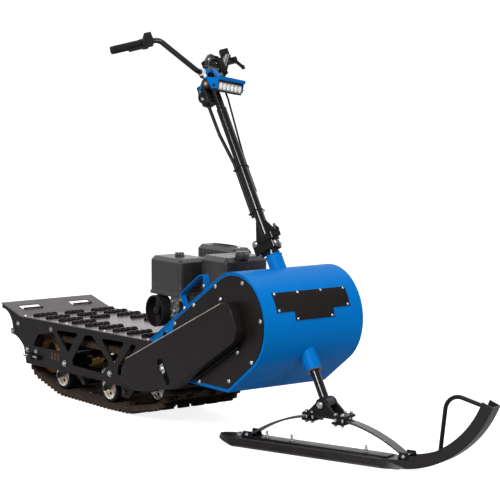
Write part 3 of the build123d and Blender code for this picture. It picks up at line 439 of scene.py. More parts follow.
# Lamp lens and the panel behind it glow a little though the lamp is unlit: painted light.
LENS = Finish("lamp_lens", "black_plastic", (0.72, 0.71, 0.7), Grain.GLASS, 0.12,
              scale=300, bump=0.02, spread=0.06, glow=0.3)
REFLECTOR = Finish("lamp_reflector", "black_plastic", (0.3, 0.28, 0.28), Grain.GLASS, 0.3, 0.2,
                   scale=300, bump=0.02, spread=0.1, glow=0.1)
FLOOR = Finish("studio_floor", "black_paint", (0.45, 0.45, 0.45), Grain.MOULDED, 0.8,
               scale=60, bump=0.01, spread=0.01, sheen=0.1)


class Shape:
    """A mesh that grows from simple bodies, each placed by its own local frame in millimetres."""

    def __init__(self) -> None:
        """Start empty."""
        self.bm = bmesh.new()

    def _take(self, part: bmesh.types.BMesh, place: Optional[Place], bevel: float, steps: int,
              angle: float = 30.0) -> None:
        """Bevel a body, place it and join it to the mesh.

        Args:
            part: the body in millimetres, freed here.
            place: its local frame, or None where it is in metres already.
            bevel: the bevel's width in the body's own units.
            steps: the bevel's segments.
            angle: edges sharper than this, in degrees, are bevelled.
        """
        bmesh.ops.recalc_face_normals(part, faces=part.faces)
        if bevel > 0:
            limit = math.radians(angle)
            sharp = [e for e in part.edges if len(e.link_faces) == 2 and e.calc_face_angle(0) > limit]
            bmesh.ops.bevel(part, geom=sharp, offset=bevel, segments=steps, profile=BEVEL_PROFILE,
                            affect="EDGES", clamp_overlap=True)
        if place is not None:
            part.transform(place.matrix())
        mesh = bpy.data.meshes.new("join")
        part.to_mesh(mesh)
        part.free()
        self.bm.from_mesh(mesh)
        bpy.data.meshes.remove(mesh)

    def turned(self, place: Place, profile: Sequence[Point2], sides: int = 24, bevel: float = 0.0) -> "Shape":
        """Add a turned body.

        Args:
            place: the frame whose third direction is the turning axis.
            profile: radius and height of each corner, from the bottom up.
            sides: how many faces go round.
            bevel: the width of its rounded edges.

        Returns:
            This shape.
        """
        part = bmesh.new()
        rings = []
        for r, h in profile:
            if r <= 1e-6:
                rings.append([part.verts.new((0, 0, h))])
                continue
            rings.append([part.verts.new((r * math.cos(a), r * math.sin(a), h)) for a in round_angles(sides)])
        for low, high in zip(rings, rings[1:]):
            for i in range(sides):
                j = (i + 1) % sides
                corners = [low[i % len(low)], low[j % len(low)], high[j % len(high)], high[i % len(high)]]
                unique = list(dict.fromkeys(corners))
                if len(unique) > 2:
                    part.faces.new(unique)
        for ring in (rings[0], rings[-1]):
            if len(ring) > 2:
                part.faces.new(ring)
        self._take(part, place, bevel, 2)
        return self

    def hoop(self, place: Place, profile: Sequence[Point2], sides: int = 32, bevel: float = 0.0) -> "Shape":
        """Add a ring turned from a closed profile.

        Args:
            place: the frame whose third direction is the turning axis.
            profile: radius and height of each corner of the ring's section.
            sides: how many faces go round.
            bevel: the width of its rounded edges.

        Returns:
            This shape.
        """
        part = bmesh.new()
        rings = []
        for a in round_angles(sides):
            rings.append([part.verts.new((r * math.cos(a), r * math.sin(a), h)) for r, h in profile])
        for one, two in zip(rings, rings[1:] + rings[:1]):
            for k in range(len(profile)):
                m = (k + 1) % len(profile)
                part.faces.new((one[k], two[k], two[m], one[m]))
        self._take(part, place, bevel, 2)
        return self

    def prism(self, place: Place, outline: Sequence[Point2], height: float, bevel: float = 0.0,
              steps: int = 2) -> "Shape":
        """Add an outline drawn in a place and raised along its normal.

        Args:
            place: the frame of the outline.
            outline: its corners.
            height: how far it rises.
            bevel: the width of its rounded edges.
            steps: the bevel's segments.

        Returns:
            This shape.
        """
        part = bmesh.new()
        base = [part.verts.new((x, y, 0)) for x, y in outline]
        face = part.faces.new(base)
        raised = bmesh.ops.extrude_face_region(part, geom=[face])
        tops = [v for v in raised["geom"] if isinstance(v, bmesh.types.BMVert)]
        bmesh.ops.translate(part, verts=tops, vec=(0, 0, height))
        self._take(part, place, bevel, steps)
        return self

    def block(self, place: Place, size: Point3, bevel: float = 0.0, steps: int = 2) -> "Shape":
        """Add a box that stands on its place.

        Args:
            place: the frame at the middle of its foot.
            size: its three lengths.
            bevel: the width of its rounded edges.
            steps: the bevel's segments.

        Returns:
            This shape.
        """
        a, b = size[0] / 2, size[1] / 2
        return self.prism(place, ((-a, -b), (a, -b), (a, b), (-a, b)), size[2], bevel, steps)

    def tube(self, path: Sequence[Vector], radius: float, sides: int = 10, closed: bool = False) -> "Shape":
        """Add a round bar along a path in metres.

        Args:
            path: the points along its middle.
            radius: its radius in millimetres.
            sides: how many faces go round.
            closed: whether the path joins its own start.

        Returns:
            This shape.
        """
        part = bmesh.new()
        count = len(path)
        normal: Optional[Vector] = None
        rings = []
        for i, point in enumerate(path):
            after = path[(i + 1) % count] if closed else path[min(i + 1, count - 1)]
            before = path[i - 1] if closed else path[max(i - 1, 0)]
            along = (after - before).normalized()
            if normal is None:
                seed = UP if abs(along.z) < 0.9 else Vector((1, 0, 0))
                normal = along.cross(seed).normalized()
            normal = (normal - along * normal.dot(along)).normalized()
            side = along.cross(normal)
            spokes = [normal * math.cos(a) + side * math.sin(a) for a in round_angles(sides)]
            rings.append([part.verts.new(point + spoke * radius * MM) for spoke in spokes])
        joins = list(zip(rings, rings[1:])) + ([(rings[-1], rings[0])] if closed else [])
        for one, two in joins:
            for k in range(sides):
                m = (k + 1) % sides
                part.faces.new((one[k], one[m], two[m], two[k]))
        if not closed:
            part.faces.new(rings[0])
            part.faces.new(rings[-1])
        self._take(part, None, 0.0, 1)
        return self

    def hexagon(self, place: Place, across: float, height: float) -> "Shape":
        """Add a hexagon head with a domed top.

        Args:
            place: the frame at its foot.
            across: its width over the corners.
            height: how far it stands.

        Returns:
            This shape.
        """
        r = across / 2
        return self.turned(place, ((r, 0), (r, height * 0.8), (r * 0.82, height)), 6, 0.4)

    def bolt(self, place: Place, size: float) -> "Shape":
        """Add a hexagon bolt on its washer.

        Args:
            place: the frame on the face that carries it.
            size: the bolt's nominal diameter.

        Returns:
            This shape.
        """
        washer = ((size * 1.15, 0), (size * 1.15, size * 0.16), (size * 0.5, size * 0.17))
        return self.turned(place, washer, 20).hexagon(place, size * 1.9, size * 0.78)

    def button(self, place: Place, size: float) -> "Shape":
        """Add a round-headed screw with a socket.

        Args:
            place: the frame on the face that carries it.
            size: the screw's nominal diameter.

        Returns:
            This shape.
        """
        r = size * 0.95
        dome = ((r, 0), (r, size * 0.12), (r * 0.86, size * 0.36), (r * 0.52, size * 0.5),
                (r * 0.42, size * 0.5), (r * 0.38, size * 0.2), (0, size * 0.2))
        return self.turned(place, dome, 18)


@dataclass
class Fitter:
    """Turns shapes into pieces that ride on a body and wear a finish.

    The last three fields are what counts as one point, a flat edge and a sharp one.
    """

    made: list[str] = field(default_factory=list)
    weld: float = 2e-6
    flat_angle: float = 0.4
    sharp_angle: float = 33.0

    def add(self, shape: Shape, name: str, body: str, finish: Finish, replaces: Iterable[str] = (),
            smooth: float = 42.0) -> bpy.types.Object:
        """Make a piece.

        Args:
            shape: its mesh, freed here.
            name: the piece's name.
            body: the body that it rides on.
            finish: what it wears.
            replaces: the solids that it stands for.
            smooth: edges sharper than this, in degrees, stay sharp.

        Returns:
            The piece.
        """
        mesh = bpy.data.meshes.new(name)
        shape.bm.to_mesh(mesh)
        shape.bm.free()
        piece = bpy.data.objects.new(name, mesh)
        bpy.context.scene.collection.objects.link(piece)
        mesh.materials.append(finish.material())
        mesh.shade_smooth()
        mesh.set_sharp_from_angle(angle=math.radians(smooth))
        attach(piece, body)
        nodes = tuple(replaces)
        if nodes:
            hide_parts(*nodes)
        self.made.append(name)
        LOG.info("made %s on %s", name, body)
        return piece

    def rounded(self, node: str, body: str, finish: Finish, width: float,
                smooth: float = 50.0) -> bpy.types.Object:
        """Stand for a solid with the same shape and rounded edges.

        Args:
            node: the solid's name.
            body: the body that it belongs to.
            finish: what it wears.
            width: the rounding in millimetres.
            smooth: edges sharper than this, in degrees, stay sharp.

        Returns:
            The piece.
        """
        shape = Shape()
        bm = shape.bm
        bm.from_mesh(frame["nodes"][node].data)
        bmesh.ops.remove_doubles(bm, verts=bm.verts, dist=self.weld)
        bmesh.ops.dissolve_limit(bm, angle_limit=math.radians(self.flat_angle), verts=bm.verts, edges=bm.edges)
        limit = math.radians(self.sharp_angle)
        sharp = [e for e in bm.edges if len(e.link_faces) == 2 and e.calc_face_angle(0) > limit]
        bmesh.ops.bevel(bm, geom=sharp, offset=width * MM, segments=2, profile=BEVEL_PROFILE,
                        affect="EDGES", clamp_overlap=True, miter_outer="ARC")
        piece = self.add(shape, node + "_dressed", body, finish, (node,), smooth)
        even = piece.modifiers.new("even", "WEIGHTED_NORMAL")
        even.keep_sharp = True
        return piece


@dataclass
class Dressing:
    """Gives each solid its finish and rounded edges."""

    plain: dict[str, tuple[Finish, float]] = field(default_factory=lambda: {
        "hull_shell": (BLUE, 1.2), "side_panel_left": (BLUE, 1.0), "side_panel_right": (BLUE, 1.0),
        "steering_tube": (BLUE, 1.5), "strap_handle": (BLUE, 1.0), "lamp_bracket": (BLUE, 0.8),
        "cover_left": (BLACK, 1.0), "cover_right": (BLACK, 1.0), "drive_case": (BLACK, 1.6),
        "front_plate": (BLACK, 0.8), "side_frame_left": (BLACK, 1.0), "side_frame_right": (BLACK, 1.0),
        "deck": (PAINTED_SHEEN_DECK, 1.0), "tail_plate": (PAINTED_SHEEN_TAIL, 1.0), "tow_bar": (BLACK, 1.0), "engine_bed": (BLACK, 1.0),
        "steering_shaft": (GLOSS, 1.5), "column": (GLOSS, 1.5), "handlebar": (GLOSS, 1.5),
        "ski": (SKI, 1.6), "ski_fork": (BLACK, 1.5), "leaf_spring": (PAINTED_SHEEN_SPRING, 1.2), "ski_loop": (BLACK, 1.0),
        "spring_shoes": (BLACK, 2.0), "pivot_tubes": (BLACK, 1.0),
        "front_hangers": (BLACK, 1.5), "guard_ring": (PLASTIC, 1.5),
        "drive_axle": (STEEL, 1.0), "idler_axle": (STEEL, 1.0), "wheel_axles": (GLOSS, 1.0),
        "air_filter": (COVER, 3.0), "fuel_tank": (COVER, 3.0), "silencer": (COVER, 3.0),
        "engine_block": (CAST, 2.0), "carburettor": (ALLOY, 2.0), "knuckle_bolt": (STEEL, 1.0),
        "throttle": (PLASTIC, 2.0), "brake": (PLASTIC, 2.0), "head_lamp": (PLASTIC, 2.0), "wiring": (PLASTIC, 4.0),
        "cables": (SHEATH, 0.5),
    })

    def build(self, fitter: Fitter) -> None:
        """Dress every solid.

        Args:
            fitter: makes the pieces.
        """
        bodies = frame["record"]["behaviour"]["bodies"]
        owner = {node: body for body, nodes in bodies.items() for node in nodes}
        for node, (finish, width) in self.plain.items():
            fitter.rounded(node, owner[node], finish, width)


@dataclass
class HullFittings:
    """Screws of the covers and the plate, small parts of the drive case and the head tube's ends."""

    cover_y: float = 235.0
    case_y: float = 285.0
    strap_y: float = 230.0
    drum_r: float = 198.0
    cover_screws: tuple[Point3, ...] = (
        (-399, 442, 9.5), (-266, 531, 9.5), (-120, 619, 9.5), (53, 648, 9.5), (166, 517, 9.5), (111, 357, 9.5),
        (-33, 267, 9.5), (-231, 238, 9.5), (-566, 334, 9.0), (22, 384, 9.5))
    case_screw: Point3 = (-88, 573, 9.0)
    plate_rivets: tuple[Point2, ...] = (
        (38.2, 163), (38.2, 55), (38.2, -55), (38.2, -163), (18.8, 163), (18.8, -163), (8.6, 81), (8.6, -81))
    rivet: tuple[Point2, ...] = ((5.2, -0.5), (5.2, 0.8), (3.8, 2.4), (0, 2.9))
    strap_screws: tuple[Point2, ...] = ((-340, 511), (-206, 612))
    lip: tuple[Point2, Point2] = ((-22, 567.7), (-686, 270))
    rib: tuple[Point2, Point2] = ((44, 409), (-262, 234))
    slot: Point2 = (-404, 254)
    slot_turn: float = -55.0
    slot_half: float = 41.0
    slot_r: float = 15.0
    tensioner: Point2 = (-414, 266)
    stop: Point2 = (-386, 229)
    head_foot: float = 136.0
    head_top: float = 621.0

    def build(self, fitter: Fitter) -> None:
        """Fit the hull's small parts.

        Args:
            fitter: makes the pieces.
        """
        self._screws(fitter)
        self._case(fitter)
        self._head_tube(fitter)

    def _screws(self, fitter: Fitter) -> None:
        """Screws around the covers and the strap, rivets on the front plate.

        Args:
            fitter: makes the pieces.
        """
        shape = Shape()
        for hand in HANDS:
            for x, z, size in self.cover_screws:
                shape.button(Place.side(x, hand * self.cover_y, z), size)
        x, z, size = self.case_screw
        shape.button(Place.side(x, -self.cover_y, z), size)
        fitter.add(shape, "cover_screws", "chassis", STEEL)
        shape = Shape()
        for angle, y in self.plate_rivets:
            a = math.radians(angle)
            out = Vector((math.cos(a), 0, math.sin(a)))
            foot = DATUM.at(0, y, DATUM.hull_z) + out * self.drum_r * MM
            shape.turned(Place.facing(foot, out, UP), self.rivet, 18)
        fitter.add(shape, "plate_rivets", "chassis", STEEL)
        shape = Shape()
        for x, z in self.strap_screws:
            shape.button(Place.side(x, -self.strap_y, z), 8.0)
        fitter.add(shape, "strap_screws", "chassis", STEEL)

    def _case(self, fitter: Fitter) -> None:
        """Strip of painted highlight along the drive case's upper edge, its rib and its chain tensioner, with painted
        shade in the tensioner's slot.

        Args:
            fitter: makes the pieces.
        """
        # Pale strip on the case's upper edge: painted highlight.
        (xa, za), (xb, zb) = self.lip
        y = 2.4 - self.case_y
        shape = Shape().tube([DATUM.at(xa, y, za), DATUM.at(xb, y, zb)], 2.0, 8)
        fitter.add(shape, "case_edge_highlight", "chassis", EDGE)
        (xa, za), (xb, zb) = self.rib
        run = math.hypot(xb - xa, zb - za)
        turn = math.degrees(math.atan2(zb - za, xb - xa))
        middle = Place.side((xa + xb) / 2, -self.cover_y, (za + zb) / 2, turn)
        fitter.add(Shape().block(middle, (run, 4.0, 14.0), 1.0), "cover_rib", "chassis", BLACK)
        # Dark sheet just proud of the case in the tensioner's slot: painted shade.
        x, z = self.slot
        proud = 0.2 - self.case_y
        outline = capsule(((self.slot_half, self.slot_r, -90), (-self.slot_half, self.slot_r, 90)))
        seat = Place.side(x, proud, z, self.slot_turn)
        fitter.add(Shape().prism(seat, outline, 0.7), "tensioner_slot_shade", "chassis", PAINTED_SHADE)
        x, z = self.tensioner
        seat = Place.side(x, proud, z, self.slot_turn)
        shape = Shape().block(seat, (38, 23, 2.4), 2.0)
        shape.turned(seat, ((10.5, 2), (10.5, 4), (6, 4.1)), 24)
        shape.hexagon(seat, 17, 10)
        fitter.add(shape, "tensioner_bolt", "chassis", STEEL)
        x, z = self.stop
        shape = Shape().block(Place.side(x, 14 - self.case_y, z, 42), (16, 20, 8), 3.0)
        fitter.add(shape, "tensioner_stop", "chassis", GLOSS)

    def _head_tube(self, fitter: Fitter) -> None:
        """Bronze bush in the head tube's foot and rings round its ends.

        Args:
            fitter: makes the pieces.
        """
        bush = ((20.2, 0), (29.5, 0), (30.5, 1.2), (30.5, 3.6), (20.2, 3.6))
        shape = Shape().hoop(Place.column(self.head_foot - 2.4), bush, 36)
        fitter.add(shape, "head_bush", "chassis", BRONZE)
        shape = Shape()
        shape.hoop(Place.column(self.head_top - 5), ((31.5, 0), (33.4, 0.6), (33.4, 3.4), (31.5, 4.6)), 40)
        shape.hoop(Place.column(self.head_foot + 1), ((31.5, 0), (33.2, 0.6), (33.2, 3.0), (31.5, 4.0)), 40)
        fitter.add(shape, "head_tube_rings", "chassis", BLUE)


@dataclass
class DeckFittings:
    """Cleats' teeth and painted shade in their mouths, deck screws, frame bolts and flanges, belt adjusters and slot
    trims.
    """

    frame_y: float = 235.0
    cleat_pitch: float = 111.7
    cleat_first: float = 75.0
    cleat_r: float = 12.0
    cleat_teeth: int = 4
    rows: tuple[tuple[float, float, int], ...] = ((-150, 112, 9), (150, 112, 9), (0, 90, 3))
    screw_y: float = 226.0
    screw_spots: tuple[float, ...] = (28, 390, 700, 1040)
    frame_bolts: tuple[Point3, ...] = (
        (-1668, 293, 9.5), (-1372, 302, 9.5), (-1260, 166, 12), (-888, 174, 12), (-1719, 251.5, 11), (-560, 186, 9),
        (-520, 300, 9))
    case_from: float = -700.0
    hole_first: Point2 = (-1371, 196)
    hole_pitch: Point2 = (27, 11)
    lower_edge: tuple[Point2, ...] = ((-1602, 124), (-1262, 132), (-963, 136), (-640, 135), (-560, 150))
    rod_z: float = 162.0
    rod_rear: float = -1605.0
    thread_pitch: float = 3.5
    thread_count: int = 37
    rod_nuts: tuple[Point2, ...] = ((-1601, 18), (-1572, 18), (-1486, 16))
    plate_bolts: tuple[Point2, ...] = ((-1587, 9), (-1506, 22))
    plate_bolt_z: float = 186.0
    deck_rear: Point2 = (-1647.0, 331.0)
    deck_front: Point2 = (-583.0, 353.0)
    tail_end: Point2 = (-1819.0, 372.0)
    slot_front: float = 74.0
    slot_y: float = 130.0

    def deck(self, along: float, y: float) -> Place:
        """Place on the deck's top.

        Args:
            along: distance from the deck's rear edge.
            y: distance to the left of the middle.

        Returns:
            The place, facing up, its x ahead.
        """
        (xa, za), (xb, zb) = self.deck_rear, self.deck_front
        t = math.atan2(zb - za, xb - xa)
        ahead = Vector((math.cos(t), 0, math.sin(t)))
        return Place(DATUM.at(xa, y, za) + ahead * along * MM, ahead, ACROSS)

    def build(self, fitter: Fitter) -> None:
        """Fit the deck's and frames' small parts.

        Args:
            fitter: makes the pieces.
        """
        self._cleats(fitter)
        self._frames(fitter)
        self._adjusters(fitter)
        self._slot_trims(fitter)

    def _slot_trims(self, fitter: Fitter) -> None:
        """Edge trims on the front edges of the tail's hand slots.

        Args:
            fitter: makes the pieces.
        """
        (xa, za), (xb, zb) = self.deck_rear, self.tail_end
        back = Vector((xb - xa, 0, zb - za)).normalized()
        shape = Shape()
        for hand in HANDS:
            foot = DATUM.at(xa, hand * self.slot_y, za) + back * self.slot_front * MM
            shape.block(Place(foot, back * -1, ACROSS), (9, 100, 6), 2.4)
        fitter.add(shape, "slot_trims", "chassis", RUBBER)

    def _cleats(self, fitter: Fitter) -> None:
        """Painted shade in the cleats' open ends, teeth along their tops and the deck's screws.

        Args:
            fitter: makes the pieces.
        """
        mouths, teeth, screws = Shape(), Shape(), Shape()
        half_round = [math.pi * k / 10 for k in range(11)]
        for y, length, count in self.rows:
            tooth = length / self.cleat_teeth * 0.62
            for i in range(count):
                along = self.cleat_first + self.cleat_pitch * i
                r = self.cleat_r - 2.6
                mouth = [(r * math.cos(a), r * math.sin(a) + 0.3) for a in half_round]
                for hand in HANDS:
                    end = self.deck(along, y + hand * (length / 2 + 0.2))
                    facing = Place.facing(end.origin, Vector((0, hand, 0)), end.x.cross(end.y))
                    mouths.prism(facing, mouth, 0.8)
                foot = self.deck(along, y - length / 2 - 0.5)
                lying = Place.facing(foot.origin, ACROSS, foot.x.cross(foot.y))
                r = self.cleat_r + 0.6
                teeth.prism(lying, [(r * math.cos(a), r * math.sin(a)) for a in half_round], length + 1.0, 0.5, 1)
                for k in range(self.cleat_teeth):
                    low = self.deck(along, y - length / 2 + length * (k + 0.5) / self.cleat_teeth)
                    rise = low.x.cross(low.y) * (self.cleat_r - 4) * MM
                    teeth.block(Place(low.origin + rise, low.x, low.y), (17, tooth, 6.2), 2.4, 2)
                    teeth.block(low, (33, tooth, 7.0), 2.4, 2)
        for hand in HANDS:
            for along in self.screw_spots:
                screws.button(self.deck(along, hand * self.screw_y), 8.0)
        # Dark half discs in the cleats' open ends: painted shade.
        fitter.add(mouths, "cleat_mouth_shade", "chassis", PAINTED_SHADE)
        fitter.add(teeth, "cleat_teeth", "chassis", BLACK)
        fitter.add(screws, "deck_screws", "chassis", STEEL)

    def _frames(self, fitter: Fitter) -> None:
        """Bolts, lower flanges and small round holes of the side frames.

        Args:
            fitter: makes the pieces.
        """
        bolts, holes, flange = Shape(), Shape(), Shape()
        (hole_x, hole_z), (step_x, step_z) = self.hole_first, self.hole_pitch
        for hand in HANDS:
            for x, z, size in self.frame_bolts:
                if hand < 0 and x > self.case_from:
                    continue
                bolts.bolt(Place.side(x, hand * self.frame_y, z, 11), size)
            for i in range(3):
                for k in range(3):
                    seat = Place.side(hole_x + step_x * i, hand * (self.frame_y - 0.3), hole_z - step_z * k)
                    holes.turned(seat, ((4.6, 0), (4.6, 0.7), (0, 0.7)), 14)
            for (xa, za), (xb, zb) in zip(self.lower_edge, self.lower_edge[1:]):
                run = math.hypot(xb - xa, zb - za)
                ahead = Vector((xb - xa, 0, zb - za)).normalized()
                middle = DATUM.at((xa + xb) / 2, hand * (self.frame_y - 12), (za + zb) / 2 - 3)
                flange.block(Place(middle, ahead, ACROSS), (run + 1, 24, 3.2), 0.8)
        fitter.add(bolts, "frame_bolts", "chassis", STEEL)
        fitter.add(holes, "frame_holes", "chassis", BRONZE)
        fitter.add(flange, "frame_flanges", "chassis", BLACK)

    def _adjusters(self, fitter: Fitter) -> None:
        """Threaded rods with nuts, in the belt adjusters' place.

        Args:
            fitter: makes the pieces.
        """
        bright, dark = Shape(), Shape()
        for hand in HANDS:
            y = hand * (self.frame_y + 9)
            for k in range(self.thread_count):
                seat = Place(DATUM.at(self.rod_rear + self.thread_pitch * k, y, self.rod_z), ACROSS, UP)
                bright.turned(seat, ((4.2, 0), (5.0, 1.2), (5.0, 2.2), (4.2, 3.5)), 12)
            for x, size in self.rod_nuts:
                bright.hexagon(Place(DATUM.at(x, y, self.rod_z), ACROSS, UP), size, 8)
            for x, turn in self.plate_bolts:
                bright.bolt(Place.side(x, hand * self.frame_y, self.plate_bolt_z, turn), 10)
            dark.block(Place.side(-1545, hand * self.frame_y, self.rod_z), (40, 26, 18), 3.0)
            dark.block(Place.side(-1480, hand * self.frame_y, self.rod_z), (10, 22, 16), 2.0)
        fitter.add(bright, "adjuster_rods", "chassis", STEEL, ("adjusters",))
        fitter.add(dark, "adjuster_blocks", "chassis", BLACK)


@dataclass
class TrackUnit:
    """Belt with its lugs and clips, road wheels, rear wheels, swing arms and coil springs."""

    half: float = 190.0
    belt: float = 8.0
    lug: float = 22.0
    lug_wide: float = 52.0
    lug_rows: tuple[tuple[float, ...], ...] = ((-114, -38, 38, 114), (-146, -76, 0, 76, 146))
    outer_lug: float = 114.0
    stub_spots: tuple[float, ...] = (-133, -57, 57, 133)
    pitch: float = 60.0
    clip_y: float = 124.0
    inner_rib_y: float = 181.0
    loop: tuple[Point3, ...] = ((-1555, 158, 85), (-1380, 94, 64), (-992, 94, 64), (-830, 100, 64), (-640, 167, 88))
    wheels: tuple[Point3, ...] = ((-1380, 94, 158), (-1160, 94, 65), (-992, 94, 158), (-830, 100, 22))
    pivots: tuple[Point2, ...] = ((-1260, 166), (-888, 174))
    tyre: tuple[Point2, ...] = (
        (49.4, -18), (58, -18), (62, -16), (63.7, -11), (63.7, 11), (62, 16), (58, 18), (49.4, 18))
    rim: tuple[Point2, ...] = (
        (50, 0), (50, 15.5), (47.5, 17.3), (44.5, 16), (42.5, 7), (39, 4.6), (19, 4.2), (16, 13.6), (10, 14), (10, 0))
    rim_lip: tuple[Point2, ...] = (
        (43.6, 14.5), (50.2, 16.5), (50.4, 18.4), (48.6, 19.4), (46.6, 18.6), (43.2, 15.4))
    rim_hole_circle: float = 29.5
    rear_wheel_y: float = 115.0
    rear_hub: tuple[Point2, ...] = (
        (12.4, -16), (24, -16), (26, -5), (55, -4), (55, 4), (26, 5), (24, 16), (12.4, 16))
    guide_r: float = 72.0
    arm_y: float = 195.0
    coil_r: float = 22.5
    coil_turns: float = 8.5
    coil_steps: int = 204

    def places(self, grow: float, count: int) -> list[Point3]:
        """Even places along the belt's line.

        Args:
            grow: how far outside the wheels' circles the line lies.
            count: how many places.

        Returns:
            Each place as x, z and its outward angle.
        """
        pieces: list[tuple[float, float, float, float, float, bool]] = []
        turns: list[float] = []
        ring = list(zip(self.loop, self.loop[1:] + self.loop[:1]))
        for (xa, za, ra), (xb, zb, rb) in ring:
            lean = math.asin((ra - rb) / math.hypot(xb - xa, zb - za))
            turns.append(math.atan2(zb - za, xb - xa) - math.pi / 2 + lean)
        for k, ((xa, za, ra), (xb, zb, rb)) in enumerate(ring):
            a, b = turns[k], turns[(k + 1) % len(turns)]
            c, s = math.cos(a), math.sin(a)
            start = (xa + (ra + grow) * c, za + (ra + grow) * s)
            end = (xb + (rb + grow) * c, zb + (rb + grow) * s)
            pieces.append((math.dist(start, end), *start, a, 0.0, False))
            pieces.append(((rb + grow) * ((b - a) % (2 * math.pi)), xb, zb, a, rb + grow, True))
        total = sum(p[0] for p in pieces)
        found: list[Point3] = []
        for i in range(count):
            rest = total * i / count
            for length, x, z, a, r, bent in pieces:
                if rest > length:
                    rest -= length
                    continue
                if bent:
                    turn = a + rest / r
                    found.append((x + r * math.cos(turn), z + r * math.sin(turn), turn))
                else:
                    found.append((x - rest * math.sin(a), z + rest * math.cos(a), a))
                break
        return found

    def length(self, grow: float) -> float:
        """Length of the belt's line at a distance outside the wheels."""
        path = self.places(grow, 720)
        return sum(math.dist(a[:2], b[:2]) for a, b in zip(path, path[1:] + path[:1]))

    def lug_count(self) -> int:
        """How many rows of lugs go round the belt."""
        return round(self.length(self.belt) / self.pitch)

    def build(self, fitter: Fitter) -> None:
        """Make the track and what runs in it.

        Args:
            fitter: makes the pieces.
        """
        self._belt(fitter)
        self._clips(fitter)
        self._wheels(fitter)
        self._rear_wheels(fitter)
        self._arms(fitter)
        self._springs(fitter)

    def _seat(self, place: Point3, y: float, lift: float) -> Place:
        """Frame on the belt that faces outward, its x along the belt and its y across.

        Args:
            place: x, z and outward angle on the belt's line.
            y: distance to the left of the middle.
            lift: distance outward from the line.

        Returns:
            The place.
        """
        x, z, a = place
        out = Vector((math.cos(a), 0, math.sin(a)))
        return Place(DATUM.at(x, y, z) + out * lift * MM, ACROSS.cross(out), ACROSS)

    def _belt(self, fitter: Fitter) -> None:
        """Rubber belt with blocked lugs and edges.

        Args:
            fitter: makes the pieces.
        """
        shape, lugs, edges = Shape(), Shape(), Shape()
        half, thick = self.half, self.belt
        section = ((-half, 0.8), (-half + 1.5, 0.0), (half - 1.5, 0.0), (half, 0.8), (half, thick - 1),
                   (half - 1.5, thick), (1.5 - half, thick), (-half, thick - 1))
        rings = []
        for x, z, a in self.places(0.0, 300):
            out = Vector((math.cos(a), 0, math.sin(a)))
            rings.append([shape.bm.verts.new(DATUM.at(x, y, z) + out * h * MM) for y, h in section])
        for one, two in zip(rings, rings[1:] + rings[:1]):
            for k in range(len(section)):
                m = (k + 1) % len(section)
                shape.bm.faces.new((one[m], two[m], two[k], one[k]))
        bmesh.ops.recalc_face_normals(shape.bm, faces=shape.bm.faces)
        rows = self.lug_count()
        for i, place in enumerate(self.places(thick, rows)):
            lugs.block(self._seat(place, 0, -1), (16, 2 * half - 6, 8), 2.0, 1)
            for y in self.lug_rows[i % 2]:
                tall = self.lug + 0.6 if abs(y) != self.outer_lug else self.lug - 2
                seat = self._seat(place, y - self.lug_wide / 2, -0.6)
                upright = Place(seat.origin, seat.x, seat.x.cross(seat.y))
                lugs.prism(upright, ((-7.9, 0), (7.9, 0), (6.2, tall), (-6.2, tall)), -self.lug_wide, 1.4, 1)
        for i, place in enumerate(self.places(thick, 2 * rows)):
            if i % 2:
                for y in self.stub_spots:
                    lugs.block(self._seat(place, y, -0.6), (18, 30, 6.6), 1.5, 1)
            for hand in HANDS:
                edges.block(self._seat(place, hand * (half - 11), -0.6), (26, 20, self.lug - 8), 2.0, 1)
                edges.block(self._seat(place, hand * (half - 17), -0.6), (11, 30, self.lug - 1), 1.6, 1)
        fitter.add(shape, "belt", "chassis", RUBBER, ("track",), 38)
        fitter.add(lugs, "belt_lugs", "chassis", LUG)
        fitter.add(edges, "belt_edges", "chassis", RUBBER)

    def _clips(self, fitter: Fitter) -> None:
        """Plated clips on the belt's inside, and small ribs along its edges.

        Args:
            fitter: makes the pieces.
        """
        rows = self.lug_count()
        for name, finish, count, reach, size, bevel in (
                ("belt_clips", STEEL, rows, self.clip_y, (24, 9, 3.0), 0.8),
                ("belt_inner_ribs", RUBBER, 2 * rows, self.inner_rib_y, (10, 14, 3.4), 1.0)):
            shape = Shape()
            for place in self.places(0.0, count):
                for hand in HANDS:
                    seat = self._seat(place, hand * reach, 0.4)
                    shape.block(Place(seat.origin, seat.x, seat.y * -1), size, bevel, 1)
            fitter.add(shape, name, "chassis", finish)

    def _wheels(self, fitter: Fitter) -> None:
        """Road wheels with pressed rims and rounded tyres, and dark discs of painted shade in the rims' holes.

        Args:
            fitter: makes the pieces.
        """
        tyres, rims, hole_shades, hubs, lips = Shape(), Shape(), Shape(), Shape(), Shape()
        for x, z, y in self.wheels:
            for hand in HANDS:
                seat = Place.side(x, hand * y, z)
                tyres.hoop(seat, self.tyre, 48)
                for turn in (-1, 1):
                    face = Place(seat.origin, seat.x * turn, seat.y)
                    rims.hoop(face, self.rim, 48)
                    lips.hoop(face, self.rim_lip, 48)
                    # Dark discs in the rims' six holes: painted shade.
                    for k in range(6):
                        a = math.radians(60 * k + 14)
                        spoke = face.x.normalized() * math.cos(a) + face.y.normalized() * math.sin(a)
                        spot = face.origin + spoke * self.rim_hole_circle * MM
                        hole_shades.turned(Place(spot, face.x, face.y), ((6.6, 3.8), (6.6, 5.1), (0, 5.1)), 18)
                    nut = face.origin + face.x.cross(face.y).normalized() * 14 * MM
                    hubs.hexagon(Place(nut, face.x, face.y), 22, 5)
        fitter.add(tyres, "wheel_tyres", "chassis", TYRE, ("road_tyres",), 30)
        fitter.add(rims, "wheel_rims", "chassis", RIM, ("road_rims",), 30)
        fitter.add(hole_shades, "rim_hole_shade", "chassis", PAINTED_SHADE)
        fitter.add(lips, "rim_lips", "chassis", CHROME, (), 30)
        fitter.add(hubs, "wheel_nuts", "chassis", STEEL)

